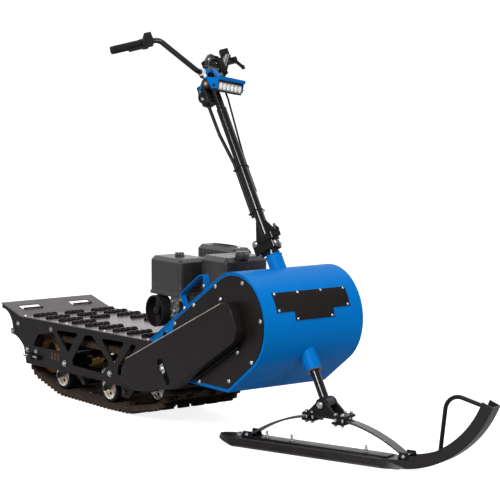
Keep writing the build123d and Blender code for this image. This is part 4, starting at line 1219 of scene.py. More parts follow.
    def _rear_wheels(self, fitter: Fitter) -> None:
        """Tan rear wheels with guide teeth, on dark hubs.

        Args:
            fitter: makes the pieces.
        """
        rings, hubs = Shape(), Shape()
        x, z, r = self.loop[0]
        section = ((56, -18), (r - 3, -18), (r - 0.5, -15), (r - 0.5, 15), (r - 3, 18), (56, 18), (54, 12), (54, -12))
        for side in HANDS:
            y = side * self.rear_wheel_y
            seat = Place.side(x, y, z)
            rings.hoop(seat, section, 56)
            hubs.hoop(seat, self.rear_hub, 48)
            for k in range(12):
                a = math.radians(30 * k + 8)
                out = Vector((math.cos(a), 0, math.sin(a)))
                foot = DATUM.at(x, y, z) + out * self.guide_r * MM
                for hand in HANDS:
                    outward = Vector((0, hand, 0))
                    tooth = Place.facing(foot + outward * 17.4 * MM, outward, out)
                    rings.block(tooth, (13, 17, 4.6), 1.5, 1)
        fitter.add(rings, "rear_wheels", "chassis", TAN, ("idler_wheels",), 34)
        fitter.add(hubs, "rear_wheel_hubs", "chassis", TYRE)

    def _arms(self, fitter: Fitter) -> None:
        """Slim swing arms from the pivot tubes to the wheels' axles.

        Args:
            fitter: makes the pieces.
        """
        shape = Shape()
        front, middle, rear = self.wheels[2], self.wheels[1], self.wheels[0]
        pairs = ((self.pivots[0], rear), (self.pivots[0], middle), (self.pivots[1], front))
        for hand in HANDS:
            for (px, pz), (ax, az, _) in pairs:
                run = math.hypot(px - ax, pz - az)
                tilt = math.atan2(pz - az, px - ax)
                ahead = Vector((math.cos(tilt), 0, math.sin(tilt)))
                foot = DATUM.at(ax, hand * self.arm_y, az) + ACROSS * 5 * MM
                seat = Place(foot, ahead, Vector((0, -1, 0)).cross(ahead))
                shape.prism(seat, capsule(((run, 22.5, -90), (0, 13, 90))), 10, 1.5)
        fitter.add(shape, "slim_arms", "chassis", BLACK, ("swing_arms",))

    def _springs(self, fitter: Fitter) -> None:
        """Coil springs around the pivot tubes.

        Args:
            fitter: makes the pieces.
        """
        shape = Shape()
        for x, z in self.pivots:
            for hand in HANDS:
                path = []
                for i in range(self.coil_steps + 1):
                    a = 2 * math.pi * self.coil_turns * i / self.coil_steps
                    y = hand * (50 + 60 * i / self.coil_steps)
                    path.append(DATUM.at(x + self.coil_r * math.cos(a), y, z + self.coil_r * math.sin(a)))
                shape.tube(path, 3.2, 8)
        fitter.add(shape, "coil_springs", "chassis", ZINC, ("torsion_springs",), 60)


@dataclass
class EngineUnit:
    """Small parts of the engine that stands in the open hull."""

    filter_at: Point2 = (-632.0, -56.0)
    filter_half: Point2 = (112, 74)
    filter_top: float = 678.0
    filter_seam: float = 562.0
    tank_at: Point2 = (-392.0, 45.0)
    tank_half: Point2 = (94, 105)
    tank_seam: float = 600.0
    seam_r: float = 20.0
    tank_screws: tuple[Point2, ...] = ((-84, -92), (84, -92), (-84, 92))
    cap: Point3 = (-310.0, 28.0, 698.0)
    ring: Point2 = (-678.0, 455.0)
    silencer: Point3 = (-631.0, 168.0, 708.0)
    carburettor_y: float = -119.0
    carburettor_bolts: tuple[Point3, ...] = (
        (-590, 500, 9), (-556, 492, 8), (-594, 440, 8), (-560, 416, 7), (-575, 462, 12))
    bowl: Point2 = (-575, -80)
    fuel_route: tuple[Point3, ...] = (
        (-486, -20, 560), (-502, -40, 545), (-512, -92, 500), (-530, -126, 470), (-548, -128, 440), (-556, -119, 424))
    crank: Point3 = (-455, 40, 410)
    head_reach: float = 160.0
    head_lean: float = 10.0
    head_bolts: tuple[Point2, ...] = ((-34, -27), (34, -27), (34, 27), (-34, 27))
    spark_route: tuple[Point3, ...] = (
        (-560, 100, 452), (-578, 118, 458), (-570, 132, 480), (-530, 130, 505), (-480, 112, 512))

    def build(self, fitter: Fitter) -> None:
        """Fit the engine's small parts.

        Args:
            fitter: makes the pieces.
        """
        self._caps(fitter)
        self._seams(fitter)
        self._silencer(fitter)
        self._starter(fitter)
        self._fuel(fitter)
        self._cylinder(fitter)

    def _caps(self, fitter: Fitter) -> None:
        """Ribbed knob of the filter and cap of the tank.

        Args:
            fitter: makes the pieces.
        """
        shape = Shape()
        x, y = self.filter_at
        for k in range(8):
            a = math.radians(45 * k)
            spot = Place.top(x + 14.5 * math.cos(a), y + 14.5 * math.sin(a), self.filter_top + 1)
            shape.turned(spot, ((4.2, 0), (4.2, 13), (2.6, 15), (0, 15)), 10)
        shape.turned(Place.top(x, y, self.filter_top), ((22, -0.5), (22, 1.4), (19, 2.4), (0, 2.4)), 28)
        x, y, z = self.cap
        for k in range(20):
            a = math.radians(18 * k)
            spot = Place.top(x + 25.6 * math.cos(a), y + 25.6 * math.sin(a), z + 3)
            shape.turned(spot, ((2.6, 0), (2.6, 16), (1.2, 18), (0, 18)), 8)
        shape.turned(Place.top(x, y, z), ((30, -0.6), (30, 2.4), (27, 3.4), (0, 3.4)), 32)
        shape.hoop(Place.top(x, y, z + 21), ((12, 0), (22, 0), (21, 1.6), (13, 1.6)), 32)
        fitter.add(shape, "caps", "chassis", COVER)

    def _seams(self, fitter: Fitter) -> None:
        """Raised seams around the filter and the tank.

        Args:
            fitter: makes the pieces.
        """
        shape = Shape()
        r = self.seam_r
        for (x, y), (half_x, half_y), z in ((self.filter_at, self.filter_half, self.filter_seam),
                                            (self.tank_at, self.tank_half, self.tank_seam)):
            path = []
            for cx, cy, start in ((half_x - r, half_y - r, 0), (r - half_x, half_y - r, 90),
                                  (r - half_x, r - half_y, 180), (half_x - r, r - half_y, 270)):
                for k in range(7):
                    a = math.radians(start + 15 * k)
                    path.append(DATUM.at(x + cx + (r + 0.2) * math.cos(a), y + cy + (r + 0.2) * math.sin(a), z))
            shape.tube(path, 1.6, 8, True)
        fitter.add(shape, "cover_seams", "chassis", COVER)

    def _silencer(self, fitter: Fitter) -> None:
        """Pressed lid and ribs of the silencer with painted shade in the lid's recess, and the screws of lid and
        tank.

        Args:
            fitter: makes the pieces.
        """
        x, y, z = self.silencer
        lid = Shape()
        oval = [(64 * math.cos(a) + (14 if math.cos(a) > 0 else -14), 22 * math.sin(a)) for a in round_angles(32)]
        lid.prism(Place.top(x, y, z - 0.5), [(u * 1.1, v * 1.18) for u, v in oval], 4.0, 1.5)
        for k in range(-4, 5):
            lid.block(Place.top(x + 26 * k, y - 49.6, z - 60), (12, 3, 34), 1.2)
        fitter.add(lid, "silencer_lid", "chassis", COVER)
        # Dark oval in the lid's recess: painted shade.
        fitter.add(Shape().prism(Place.top(x, y, z + 3.4), oval, 0.6), "silencer_recess_shade", "chassis", PAINTED_SHADE)
        screws = Shape()
        for dx in (-104, 104):
            screws.button(Place.top(x + dx, y, z), 8)
        tank_x, tank_y = self.tank_at
        for dx, dy in self.tank_screws:
            screws.button(Place.top(tank_x + dx, tank_y + dy, 570), 8)
        fitter.add(screws, "engine_screws", "chassis", STEEL)

    def _starter(self, fitter: Fitter) -> None:
        """Vents of the starter, painted as dark slabs of shade, and its hub inside the guard ring.

        Args:
            fitter: makes the pieces.
        """
        x, z = self.ring
        vents, ring = Shape(), Shape()
        # Dark slabs in the vents: painted shade.
        for k in range(16):
            turn = 22.5 * k
            a = math.radians(turn)
            vents.block(Place.side(x + 42 * math.cos(a), -106.2, z + 42 * math.sin(a), turn), (24, 5, 0.8), 0.0)
        for k in range(12):
            a = math.radians(30 * k)
            spot = Place.side(x + 62 * math.cos(a), -150, z + 62 * math.sin(a))
            ring.turned(spot, ((3.4, -0.4), (3.4, 0.8), (2, 1.8), (0, 1.8)), 12)
        ring.hoop(Place.side(x, -149.6, z), ((58, 0), (65.4, 0), (64.4, 2.4), (59, 2.4)), 48)
        ring.turned(Place.side(x, -136, z), ((17, 0), (17, 7), (14, 10), (6, 11), (0, 11)), 28)
        fitter.add(vents, "starter_vent_shade", "chassis", PAINTED_SHADE)
        fitter.add(ring, "starter_ring", "chassis", PLASTIC)

    def _fuel(self, fitter: Fitter) -> None:
        """Fuel pipe, choke and throttle levers, float bowl and governor spring.

        Args:
            fitter: makes the pieces.
        """
        y = self.carburettor_y
        pipe = Shape().tube([DATUM.at(*p) for p in self.fuel_route], 4.5, 10)
        fitter.add(pipe, "fuel_pipe", "chassis", SHEATH)
        bits = Shape()
        for x, z, size in self.carburettor_bolts:
            bits.bolt(Place.side(x, y, z, 14), size)
        bits.block(Place.side(-588, y, 474, 24), (44, 9, 3), 1.2)
        bits.block(Place.side(-556, y, 450, -38), (36, 8, 3), 1.2)
        bits.turned(Place.top(*self.bowl, 374), ((9, 0), (14, 2), (14, 6), (0, 6)), 20)
        bits.hoop(Place.top(*self.bowl, 402), ((26, 0), (30, 0), (30, 4), (26, 4)), 32)
        fitter.add(bits, "carburettor_bits", "chassis", ALLOY)
        coil = [DATUM.at(-520 + 5 * math.cos(2.2 * k), -104 + 5 * math.sin(2.2 * k), 500 - 0.9 * k)
                for k in range(60)]
        zinc = Shape().tube(coil, 1.1, 6)
        zinc.block(Place.side(-521, y, 520), (40, 24, 3), 1.5)
        fitter.add(zinc, "governor_parts", "chassis", ZINC)

    def _cylinder(self, fitter: Fitter) -> None:
        """Head cover with its bolts, and the spark plug's lead.

        Args:
            fitter: makes the pieces.
        """
        lean = math.radians(self.head_lean)
        x, y, z = self.crank
        head = DATUM.at(x - self.head_reach * math.cos(lean), y, z + self.head_reach * math.sin(lean))
        out = Vector((-math.cos(lean), 0, math.sin(lean)))
        face = Place.facing(head, out, UP)
        across, rise = face.x.normalized(), face.y.normalized()
        cover, bolts = Shape(), Shape()
        cover.prism(Place(head, across, rise), ((-46, -38), (46, -38), (46, 38), (-46, 38)), 22, 7.0)
        for dx, dz in self.head_bolts:
            foot = head + (across * dx + rise * dz) * MM + out * 21.4 * MM
            bolts.bolt(Place(foot, across, rise), 7)
        fitter.add(cover, "head_cover", "chassis", CAST)
        fitter.add(bolts, "head_bolts", "chassis", STEEL)
        lead = Shape().tube([DATUM.at(*p) for p in self.spark_route], 4.2, 10)
        boot = Place(DATUM.at(-548, 86, 448), UP, Vector((-1, 0.6, 0)))
        lead.turned(boot, ((8, -6), (8, 8), (5, 14), (0, 14)), 16)
        fitter.add(lead, "spark_lead", "chassis", SHEATH)


@dataclass
class SteeringUnit:
    """Fold clamp's bolts, cable ties, key switch, horn, bar clamp, switches and grips."""

    fold: Point2 = (690.0, -46.0)
    column_r: float = 20.0
    column_step: float = 1272.0
    cables: tuple[Point3, ...] = ((-27, -2, 7.0), (10, 22.6, 4.0))
    tie_r: float = 2.1
    tie_spots: tuple[float, ...] = (1010, 815)
    horn_spot: Point3 = (1352, -52, -26)
    horn_bolts: tuple[float, ...] = (1340, 1372)
    switch_blocks: tuple[tuple[Point3, Point3, float], ...] = (
        ((116, 12, -10), (46, 46, 74), 6.0), ((38, 16, -4), (72, 30, 46), 8.0), ((104, 80, -6), (34, 30, 14), 5.0))
    leads: tuple[Point2, ...] = ((0, 0), (4, 8), (9, -9))
    grip_tip: Point3 = (394, 134, -148)
    grip_bend: Point3 = (247, 131, -19)

    def build(self, fitter: Fitter) -> None:
        """Fit the steering's small parts.

        Args:
            fitter: makes the pieces.
        """
        self._fold(fitter)
        self._ties(fitter)
        self._key_and_horn(fitter)
        self._switches(fitter)
        self._grips(fitter)
        self._controls(fitter)

    def _fold(self, fitter: Fitter) -> None:
        """Pivot nuts below, the clamp's bolt and the column's weld beads above.

        Args:
            fitter: makes the pieces.
        """
        s, n = self.fold
        pivot = Shape()
        for hand in HANDS:
            seat = Place(DATUM.steer(s, n, hand * 27), DATUM.axis * hand, DATUM.ahead)
            pivot.turned(seat, ((12, 0), (12, 2), (7, 2.1)), 24)
            pivot.hexagon(seat, 17, 7)
        for hand in HANDS:
            pivot.bolt(Place(DATUM.steer(s - 30, 35, hand * 19), DATUM.left, DATUM.axis), 7)
        fitter.add(pivot, "fold_pivot", "steering", STEEL)
        clamp = Shape()
        seat = Place.column(s + 22, 48)
        clamp.turned(seat, ((15, 0), (15, 2.4), (8, 2.5)), 24)
        clamp.hexagon(seat, 24, 12)
        clamp.turned(seat, ((5.5, 10), (5.5, 24), (3.5, 26), (0, 26)), 16)
        fitter.add(clamp, "clamp_bolt", "column", GLOSS)
        bead = Shape().hoop(Place.column(s + 15), ((19.6, 0), (23.5, 0), (22.6, 3.0), (19.6, 4.6)), 32)
        bead.hoop(Place.column(self.column_step), ((16.6, 0), (21.0, 0), (20.2, 4.0), (16.6, 5.0)), 32)
        fitter.add(bead, "column_welds", "column", GLOSS)

    def _ties(self, fitter: Fitter) -> None:
        """Ties around the column with its cables, and a pale one on the bar.

        Args:
            fitter: makes the pieces.
        """
        black, white = Shape(), Shape()
        wrapped = ((0, 0, self.column_r), *self.cables)
        spots = [Vector((n + (r + self.tie_r) * math.cos(a), l + (r + self.tie_r) * math.sin(a)))
                 for n, l, r in wrapped for a in round_angles(24)]
        loop = [spots[k] for k in geometry.convex_hull_2d(spots)]
        for s in self.tie_spots:
            black.tube([DATUM.steer(s, spot.x, spot.y) for spot in loop], self.tie_r, 6, True)
            black.block(Place.facing(DATUM.steer(s, -36, -4), DATUM.axis, DATUM.ahead), (7, 9, 6), 1.0)
        band = Place.facing(DATUM.bar(-62, 0, 0), DATUM.bar_left, DATUM.bar_up)
        white.hoop(band, ((11.2, 0), (15.5, 0), (16, 2), (16, 15), (15.5, 17), (11.2, 17)), 32)
        tail = Place.facing(DATUM.bar(-52, -16, 8), DATUM.ahead - DATUM.bar_left, DATUM.bar_up)
        white.block(tail, (11, 26, 3), 1.0)
        fitter.add(black, "cable_ties", "column", SHEATH)
        fitter.add(white, "pale_tie", "column", PALE)

    def _key_and_horn(self, fitter: Fitter) -> None:
        """Key switch, horn and the bar's clamp bolts.

        Args:
            fitter: makes the pieces.
        """
        key_axis = (DATUM.ahead * 0.4 - DATUM.bar_left * 0.86 - DATUM.bar_up * 0.1).normalized()
        seat = Place.facing(DATUM.bar(-46, -53, -4), key_axis, DATUM.axis)
        barrel = ((14, -28), (14, 4), (20, 6), (20, 11), (17, 13), (11, 13), (10, 10.5), (0, 10.5))
        fitter.add(Shape().turned(seat, barrel, 32), "key_switch", "column", PLASTIC)
        core = Shape().turned(seat, ((8.5, 9), (8.5, 12.4), (7.4, 13), (0, 13)), 24)
        core.block(Place(seat.origin + key_axis * 12.6 * MM, seat.x, seat.y), (2.4, 9, 3.4), 0.6)
        fitter.add(core, "key_core", "column", BRONZE)
        back = (DATUM.ahead * -0.5 - DATUM.left * 0.86).normalized()
        horn = Shape()
        mouth = Place.facing(DATUM.steer(*self.horn_spot), back, DATUM.axis)
        horn.turned(mouth, ((22, -10), (24, -6), (24, 2), (20, 4), (20, 7), (14, 8), (14, 5), (0, 5)), 32)
        for k in range(5):
            horn.hoop(Place.column(1322 + 14 * k, -40, -6), ((26, 0), (29.5, 1), (29.5, 5), (26, 6)), 28)
        fitter.add(horn, "horn", "column", PLASTIC)
        bolts = Shape()
        for s in self.horn_bolts:
            foot = DATUM.steer(s, -46, -34 + (s - self.horn_bolts[0]) * 0.1)
            bolts.bolt(Place.facing(foot, back, DATUM.axis), 8)
        for n in (-15, 15):
            for l in (-26, 26):
                bolts.button(Place.column(DATUM.bar_s + 18, n, l), 8)
        fitter.add(bolts, "bar_clamp_bolts", "column", STEEL)

    def _switches(self, fitter: Fitter) -> None:
        """Switch block beside the bar's clamp, its screws and its leads.

        Args:
            fitter: makes the pieces.
        """
        block = Shape()
        for spot, size, bevel in self.switch_blocks:
            block.block(Place(DATUM.bar(*spot), DATUM.bar_left, DATUM.ahead * -1), size, bevel, 3)
        fitter.add(block, "switch_block", "column", MATT)
        screws = Shape()
        for rise in (34, 62):
            screws.button(Place.facing(DATUM.bar(92.8, rise, -4), DATUM.bar_left * -1, DATUM.bar_up), 7.0)
        fitter.add(screws, "switch_screws", "column", STEEL)
        leads = Shape()
        for side, lift in self.leads:
            route = ((98 + side, 82 + lift, 2), (64 + side, 86 + lift, 6), (30 + side, 74 + lift, 9),
                     (0 + side, 52 + lift, 9), (-16 + side, 26 + lift, 7), (-24 + side, -4, 2),
                     (-22 + side, -34, -12), (-12, -64, -30))
            leads.tube([DATUM.bar(*p) for p in route], 4.2, 8)
        fitter.add(leads, "switch_leads", "column", SHEATH)

    def _grip_line(self, hand: int) -> tuple[Vector, Vector]:
        """Outer end of a grip and the direction inward along it.

        Args:
            hand: -1 for the right grip, 1 for the left one.

        Returns:
            The end's place and the direction.
        """
        (l, a, n), (bend_l, bend_a, bend_n) = self.grip_tip, self.grip_bend
        tip = DATUM.bar(hand * l, a, n)
        return tip, (DATUM.bar(hand * bend_l, bend_a, bend_n) - tip).normalized()

    def _grips(self, fitter: Fitter) -> None:
        """Ribbed rubber grips with flanged inner ends.

        Args:
            fitter: makes the pieces.
        """
        shape = Shape()
        profile: list[Point2] = [(0, 0), (9, 0), (14.5, 1.2), (16.4, 4)]
        for k in range(16):
            at = 10 + 6.4 * k
            profile += [(14.6, at), (14.6, at + 1.4), (16.3, at + 2.2), (16.3, at + 5.2)]
        profile += [(14.8, 113), (16.5, 115), (16.5, 120.6), (15, 122), (11.2, 122)]
        for hand in HANDS:
            tip, inward = self._grip_line(hand)
            shape.turned(Place.facing(tip - inward * 4 * MM, inward, DATUM.axis), profile, 28)
        fitter.add(shape, "ribbed_grips", "column", GRIP, ("grips",), 28)

    def _controls(self, fitter: Fitter) -> None:
        """Screws and switch buttons of the hand controls.

        Args:
            fitter: makes the pieces.
        """
        screws, buttons = Shape(), Shape()
        for hand, spots, top, flank, offset in ((-1, (149, 163), 31, 17, 2), (1, (150, 164), 42, 18, 0)):
            tip, inward = self._grip_line(hand)
            up = (DATUM.axis - inward * DATUM.axis.dot(inward)).normalized()
            side = inward.cross(up)
            for along in spots:
                for k in (-1, 1):
                    base = tip + inward * along * MM + up * top * MM + side * (offset + 11 * k) * MM
                    screws.button(Place.facing(base, up, inward), 5.0)
            for along in (152, 162):
                base = tip + inward * along * MM + up * 8 * MM - side * flank * MM
                knob = Place.facing(base, side * -1, up)
                buttons.turned(knob, ((4.6, -0.5), (4.6, 3.2), (3.4, 4.2), (0, 4.2)), 16)
        fitter.add(screws, "control_screws", "column", STEEL)
        fitter.add(buttons, "control_buttons", "column", GRIP)


@dataclass
class LampUnit:
    """Six round lenses, panel, edges, cooling fins and bolts of the head lamp."""

    middle: Point3 = (0, -101, 64)
    width: float = 180.0
    height: float = 44.0
    depth: float = 30.0
    count: int = 6
    fin_count: int = 15
    fin_pitch: float = 11.8

    def build(self, fitter: Fitter) -> None:
        """Fit the lamp's small parts.

        Args:
            fitter: makes the pieces.
        """
        self._face(fitter)
        self._body(fitter)

    def _face(self, fitter: Fitter) -> None:
        """Lenses with their bezels on a grey panel; lenses and panel glow a little: painted light.

        Args:
            fitter: makes the pieces.
        """
        face, right, up = DATUM.lamp_face, DATUM.bar_left, DATUM.lamp_up
        middle = DATUM.bar(*self.middle)
        bezels, lenses, rings = Shape(), Shape(), Shape()
        pitch = (self.width - 14) / self.count
        for k in range(self.count):
            spot = middle + right * (k - (self.count - 1) / 2) * pitch * MM
            seat = Place.facing(spot, face, up)
            bezels.hoop(seat, ((11.4, 0.5), (13.0, 0.5), (13.0, 1.9), (12.4, 2.4), (11.4, 2.0)), 32)
            lenses.turned(seat, ((11.6, -0.4), (11.6, 0.8), (9.4, 2.2), (5, 3.0), (0, 3.2)), 28)
            rings.hoop(seat, ((4.0, 2.6), (5.2, 2.2), (5.2, 3.3), (4.0, 3.5)), 20)
        seat = Place.facing(middle - face * 0.4 * MM, face, up)
        panel = Shape().block(seat, (self.width - 15, self.height - 13, 1.2), 0.5)
        fitter.add(bezels, "lens_bezels", "column", PALE)
        fitter.add(panel, "lamp_panel", "column", REFLECTOR)
        fitter.add(lenses, "lamp_lenses", "column", LENS)
        fitter.add(rings, "lens_rings", "column", PALE)

    def _body(self, fitter: Fitter) -> None:
        """Fins behind and at the ends, edge strips and the bracket's bolts.

        Args:
            fitter: makes the pieces.
        """
        face, right, up = DATUM.lamp_face, DATUM.bar_left, DATUM.lamp_up
        middle = DATUM.bar(*self.middle)
        fins, edges, bolts = Shape(), Shape(), Shape()
        for k in range(self.fin_count):
            shift = (k - self.fin_count // 2) * self.fin_pitch
            seat = Place(middle + right * shift * MM - face * self.depth * MM, right, up * -1)
            fins.block(seat, (3.0, self.height - 6, 9.0), 0.6)
        for hand in HANDS:
            for k in range(4):
                spot = middle + right * hand * self.width / 2 * MM - face * (6 + 6 * k) * MM
                fins.block(Place.facing(spot, right * hand, up), (self.height - 8, 2.2, 1.6), 0.3)
        for rim in (-1, 1):
            spot = middle + up * rim * (self.height / 2 - 2.5) * MM
            edges.block(Place.facing(spot, face, up), (self.width - 6, 3, 1.2), 0.4)
        for hand in HANDS:
            spot = middle + right * hand * (self.width / 2 + 4) * MM - face * 15 * MM
            bolts.bolt(Place.facing(spot, right * hand, up), 6)
        fitter.add(fins, "lamp_fins", "column", PLASTIC)
        fitter.add(edges, "lamp_edges", "column", PLASTIC)
        fitter.add(bolts, "lamp_bolts", "column", GLOSS)


@dataclass
class SkiUnit:
    """Lips, wear bar with its studs, shoes and spring clamps of the ski."""

    deck_z: float = -167.0
    studs: tuple[float, ...] = (-268.0, -155.0, 176.0)
    lips: tuple[Point3, ...] = ((48.5, -168.5, 2.6), (59.0, -196.4, 3.2))
    lip_run: tuple[float, ...] = (-384, -200, 0, 150, 274)
    shoes: tuple[Point3, ...] = ((-338, -140, 30), (352, -138, 26))
    pin_z: float = -152.0
    pads: tuple[Point2, ...] = ((-56, -57), (76, -59))
    clamp_bolts: tuple[Point2, ...] = ((-66, -67), (-40, -67), (62, -69), (92, -69))
    clamp_half: float = 32.0

    def flat(self, x: float, l: float, z: float) -> Place:
        """Place on the ski, facing up, its x ahead."""
        return Place(DATUM.ski(x, l, z), DATUM.ski_ahead, DATUM.ski_left)

    def build(self, fitter: Fitter) -> None:
        """Fit the ski's small parts.

        Args:
            fitter: makes the pieces.
        """
        self._lips(fitter)
        self._studs(fitter)
        self._shoes(fitter)
        self._clamps(fitter)

    def _lips(self, fitter: Fitter) -> None:
        """Roll the lips along the ski's upper and lower edges, in a lighter black that paints a line of highlight on
        each.

        Args:
            fitter: makes the pieces.
        """
        shape = Shape()
        for hand in HANDS:
            for half, z, r in self.lips:
                shape.tube([DATUM.ski(x, hand * half, z) for x in self.lip_run], r, 10)
        fitter.add(shape, "ski_lips", "ski", SKI_LIP_HIGHLIGHT)

    def _studs(self, fitter: Fitter) -> None:
        """Wear bar and ribs, with studs, nuts and washers.

        Args:
            fitter: makes the pieces.
        """
        shape = Shape()
        for x in self.studs:
            seat = self.flat(x, 0, self.deck_z + 6)
            shape.turned(seat, ((11, -0.4), (11, 2), (6, 2.1)), 24)
            shape.hexagon(seat, 17, 9)
            for k in range(6):
                thread = self.flat(x, 0, self.deck_z + 13 + 3 * k)
                shape.turned(thread, ((3.8, 0), (4.6, 1.0), (4.6, 2.0), (3.8, 3.0)), 12)
        shape.bolt(self.flat(-392, 0, self.deck_z), 15)
        shape.bolt(self.flat(337, 0, -158), 11)
        fitter.add(shape, "ski_studs", "ski", STEEL)
        bar = Shape().block(self.flat(-20, 0, self.deck_z - 0.5), (600, 58, 6.5), 3.0, 3)
        for l in (-38, 38):
            bar.block(self.flat(-30, l, self.deck_z - 0.6), (560, 7, 2.6), 1.2)
        fitter.add(bar, "ski_ribs", "ski", SKI)

    def _shoes(self, fitter: Fitter) -> None:
        """Cheeks and pins at the spring's ends.

        Args:
            fitter: makes the pieces.
        """
        dark, pins = Shape(), Shape()
        for x, high, half in self.shoes:
            rise = high - self.deck_z
            for hand in HANDS:
                seat = Place(DATUM.ski(x, hand * half, self.deck_z), DATUM.ski_ahead, UP)
                dark.prism(seat, ((-26, 0), (26, 0), (18, rise), (-18, rise)), -4.0 * hand, 1.0)
            pins.tube([DATUM.ski(x, -half - 5, self.pin_z), DATUM.ski(x, half + 5, self.pin_z)], 5.0, 14)
            for hand in HANDS:
                end = DATUM.ski(x, hand * (half + 3), self.pin_z)
                pins.hexagon(Place(end, DATUM.ski_ahead * hand, UP * -1), 15, 6)
        fitter.add(dark, "shoe_cheeks", "ski", BLACK)
        fitter.add(pins, "shoe_pins", "ski", STEEL)

    def _clamps(self, fitter: Fitter) -> None:
        """Pads under the spring with the bolts that hold it to the fork's foot.

        Args:
            fitter: makes the pieces.
        """
        pads, bolts = Shape(), Shape()
        for x, low in self.pads:
            pads.block(self.flat(x, 0, low - 9), (56, 84, 10), 4.0)
        for x, low in self.clamp_bolts:
            for hand in HANDS:
                l = hand * self.clamp_half
                bolts.tube([DATUM.ski(x, l, low - 5), DATUM.ski(x, l, -24)], 4.4, 12)
                bolts.hexagon(self.flat(x, l, -34), 16, 8)
                seat = self.flat(x, l, low)
                bolts.hexagon(Place(seat.origin, seat.x, seat.y * -1), 15, 6)
        fitter.add(pads, "spring_pads", "ski", BLACK)
        fitter.add(bolts, "spring_bolts", "ski", STEEL)


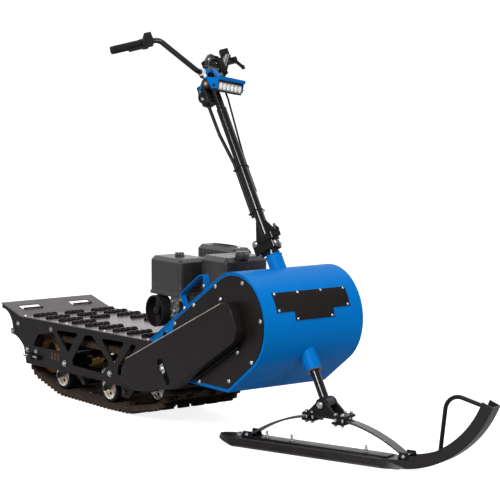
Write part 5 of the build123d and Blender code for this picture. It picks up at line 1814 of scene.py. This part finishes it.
@dataclass
class Studio:
    """Camera, floor and soft light."""

    azimuth: float = 53.89
    pitch: float = 6.07
    focal: float = 1826.13
    shift: Point3 = (129.97, -262.59, 7006.79)
    pixels: float = 500.0
    sensor: float = 36.0
    front: float = 0.22
    backdrop: float = 1.0
    floor_glow: float = 0.86
    floor_half: float = 60.0
    floor_z: float = -0.002
    lamps: tuple[tuple[str, Point3, Point3, float, float], ...] = (
        # name, place, aim, width, watts
        ("key", (2.6, -5.2, 4.2), (0, 0, 0.5), 2.2, 420.0),
        ("fill", (6.0, 1.0, 2.6), (0, 0, 0.6), 2.2, 150.0),
        ("over", (-1.0, 1.5, 5.0), (0, 0, 0.3), 3.4, 100.0),
    )

    def build(self) -> None:
        """Set the stage."""
        self._camera()
        self._floor()
        self._room()
        self._lamps()

    def _camera(self) -> None:
        """Stand the camera where the photograph was taken."""
        a, e = math.radians(self.azimuth), math.radians(self.pitch)
        right = Vector((math.cos(a), math.sin(a), 0))
        look = Vector((-math.sin(a) * math.cos(e), math.cos(a) * math.cos(e), -math.sin(e)))
        up = right.cross(look)
        data = bpy.data.cameras.new("camera")
        data.sensor_width = self.sensor
        data.lens = self.focal / self.pixels * self.sensor
        data.clip_end = 200
        camera = bpy.data.objects.new("camera", data)
        bpy.context.scene.collection.objects.link(camera)
        back = (right * self.shift[0] + up * self.shift[1] + look * self.shift[2]) * MM
        turn = Matrix((right, up, -look)).transposed().to_4x4()
        camera.matrix_world = Matrix.Translation(DATUM.at(0, 0, DATUM.hull_z) - back) @ turn
        bpy.context.scene.camera = camera

    def _floor(self) -> None:
        """Lay a pale floor."""
        mesh = bpy.data.meshes.new("floor")
        r, z = self.floor_half, self.floor_z
        mesh.from_pydata([(-r, -r, z), (r, -r, z), (r, r, z), (-r, r, z)], [], [(0, 1, 2, 3)])
        floor = bpy.data.objects.new("floor", mesh)
        pale = FLOOR.material()
        mesh.materials.append(pale)
        tree = pale.node_tree
        path = tree.nodes.new("ShaderNodeLightPath")
        span = tree.nodes.new("ShaderNodeMapRange")
        span.inputs["To Max"].default_value = self.floor_glow
        tree.links.new(path.outputs["Is Camera Ray"], span.inputs["Value"])
        shader = tree.nodes["Principled BSDF"]
        shader.inputs["Emission Color"].default_value = (1.0, 1.0, 1.0, 1)
        tree.links.new(span.outputs["Result"], shader.inputs["Emission Strength"])
        bpy.context.scene.collection.objects.link(floor)

    def _room(self) -> None:
        """Pale room: a white backdrop behind the object and a darker side in front of it."""
        world = bpy.data.worlds.new("room")
        world.use_nodes = True
        tree = world.node_tree
        soft = tree.nodes["Background"]
        soft.inputs["Color"].default_value = (1.0, 0.98, 0.985, 1)
        coords = tree.nodes.new("ShaderNodeTexCoord")
        facing = tree.nodes.new("ShaderNodeVectorMath")
        facing.operation = "DOT_PRODUCT"
        a = math.radians(self.azimuth)
        facing.inputs[1].default_value = (-math.sin(a), math.cos(a), 0.1)
        span = tree.nodes.new("ShaderNodeMapRange")
        span.interpolation_type = "SMOOTHSTEP"
        span.inputs["From Min"].default_value = -0.25
        span.inputs["From Max"].default_value = 0.75
        span.inputs["To Min"].default_value = self.front
        span.inputs["To Max"].default_value = self.backdrop
        tree.links.new(coords.outputs["Generated"], facing.inputs[0])
        tree.links.new(facing.outputs["Value"], span.inputs["Value"])
        tree.links.new(span.outputs["Result"], soft.inputs["Strength"])
        bright = tree.nodes.new("ShaderNodeBackground")
        bright.inputs["Color"].default_value = (1.0, 1.0, 1.0, 1)
        bright.inputs["Strength"].default_value = 1.1
        path = tree.nodes.new("ShaderNodeLightPath")
        mix = tree.nodes.new("ShaderNodeMixShader")
        tree.links.new(path.outputs["Is Camera Ray"], mix.inputs["Fac"])
        tree.links.new(soft.outputs["Background"], mix.inputs[1])
        tree.links.new(bright.outputs["Background"], mix.inputs[2])
        tree.links.new(mix.outputs["Shader"], tree.nodes["World Output"].inputs["Surface"])
        bpy.context.scene.world = world
        bpy.context.scene.view_settings.view_transform = "Standard"

    def _lamps(self) -> None:
        """Hang soft lamps around the object."""
        for name, place, aim, width, watts in self.lamps:
            data = bpy.data.lights.new(name, "AREA")
            data.size = width
            data.energy = watts
            lamp = bpy.data.objects.new(name, data)
            lamp.location = place
            lamp.rotation_euler = (Vector(aim) - Vector(place)).to_track_quat("-Z", "Y").to_euler()
            bpy.context.scene.collection.objects.link(lamp)


def main() -> None:
    """Build the looks in order."""
    logging.basicConfig(level=logging.INFO, format="%(message)s")
    fitter = Fitter()
    Studio().build()
    units = (Dressing(), HullFittings(), DeckFittings(), TrackUnit(), EngineUnit(), SteeringUnit(), LampUnit(),
             SkiUnit())
    for unit in units:
        unit.build(fitter)
    LOG.info("%d pieces", len(fitter.made))


if __name__ == "__main__":
    main()
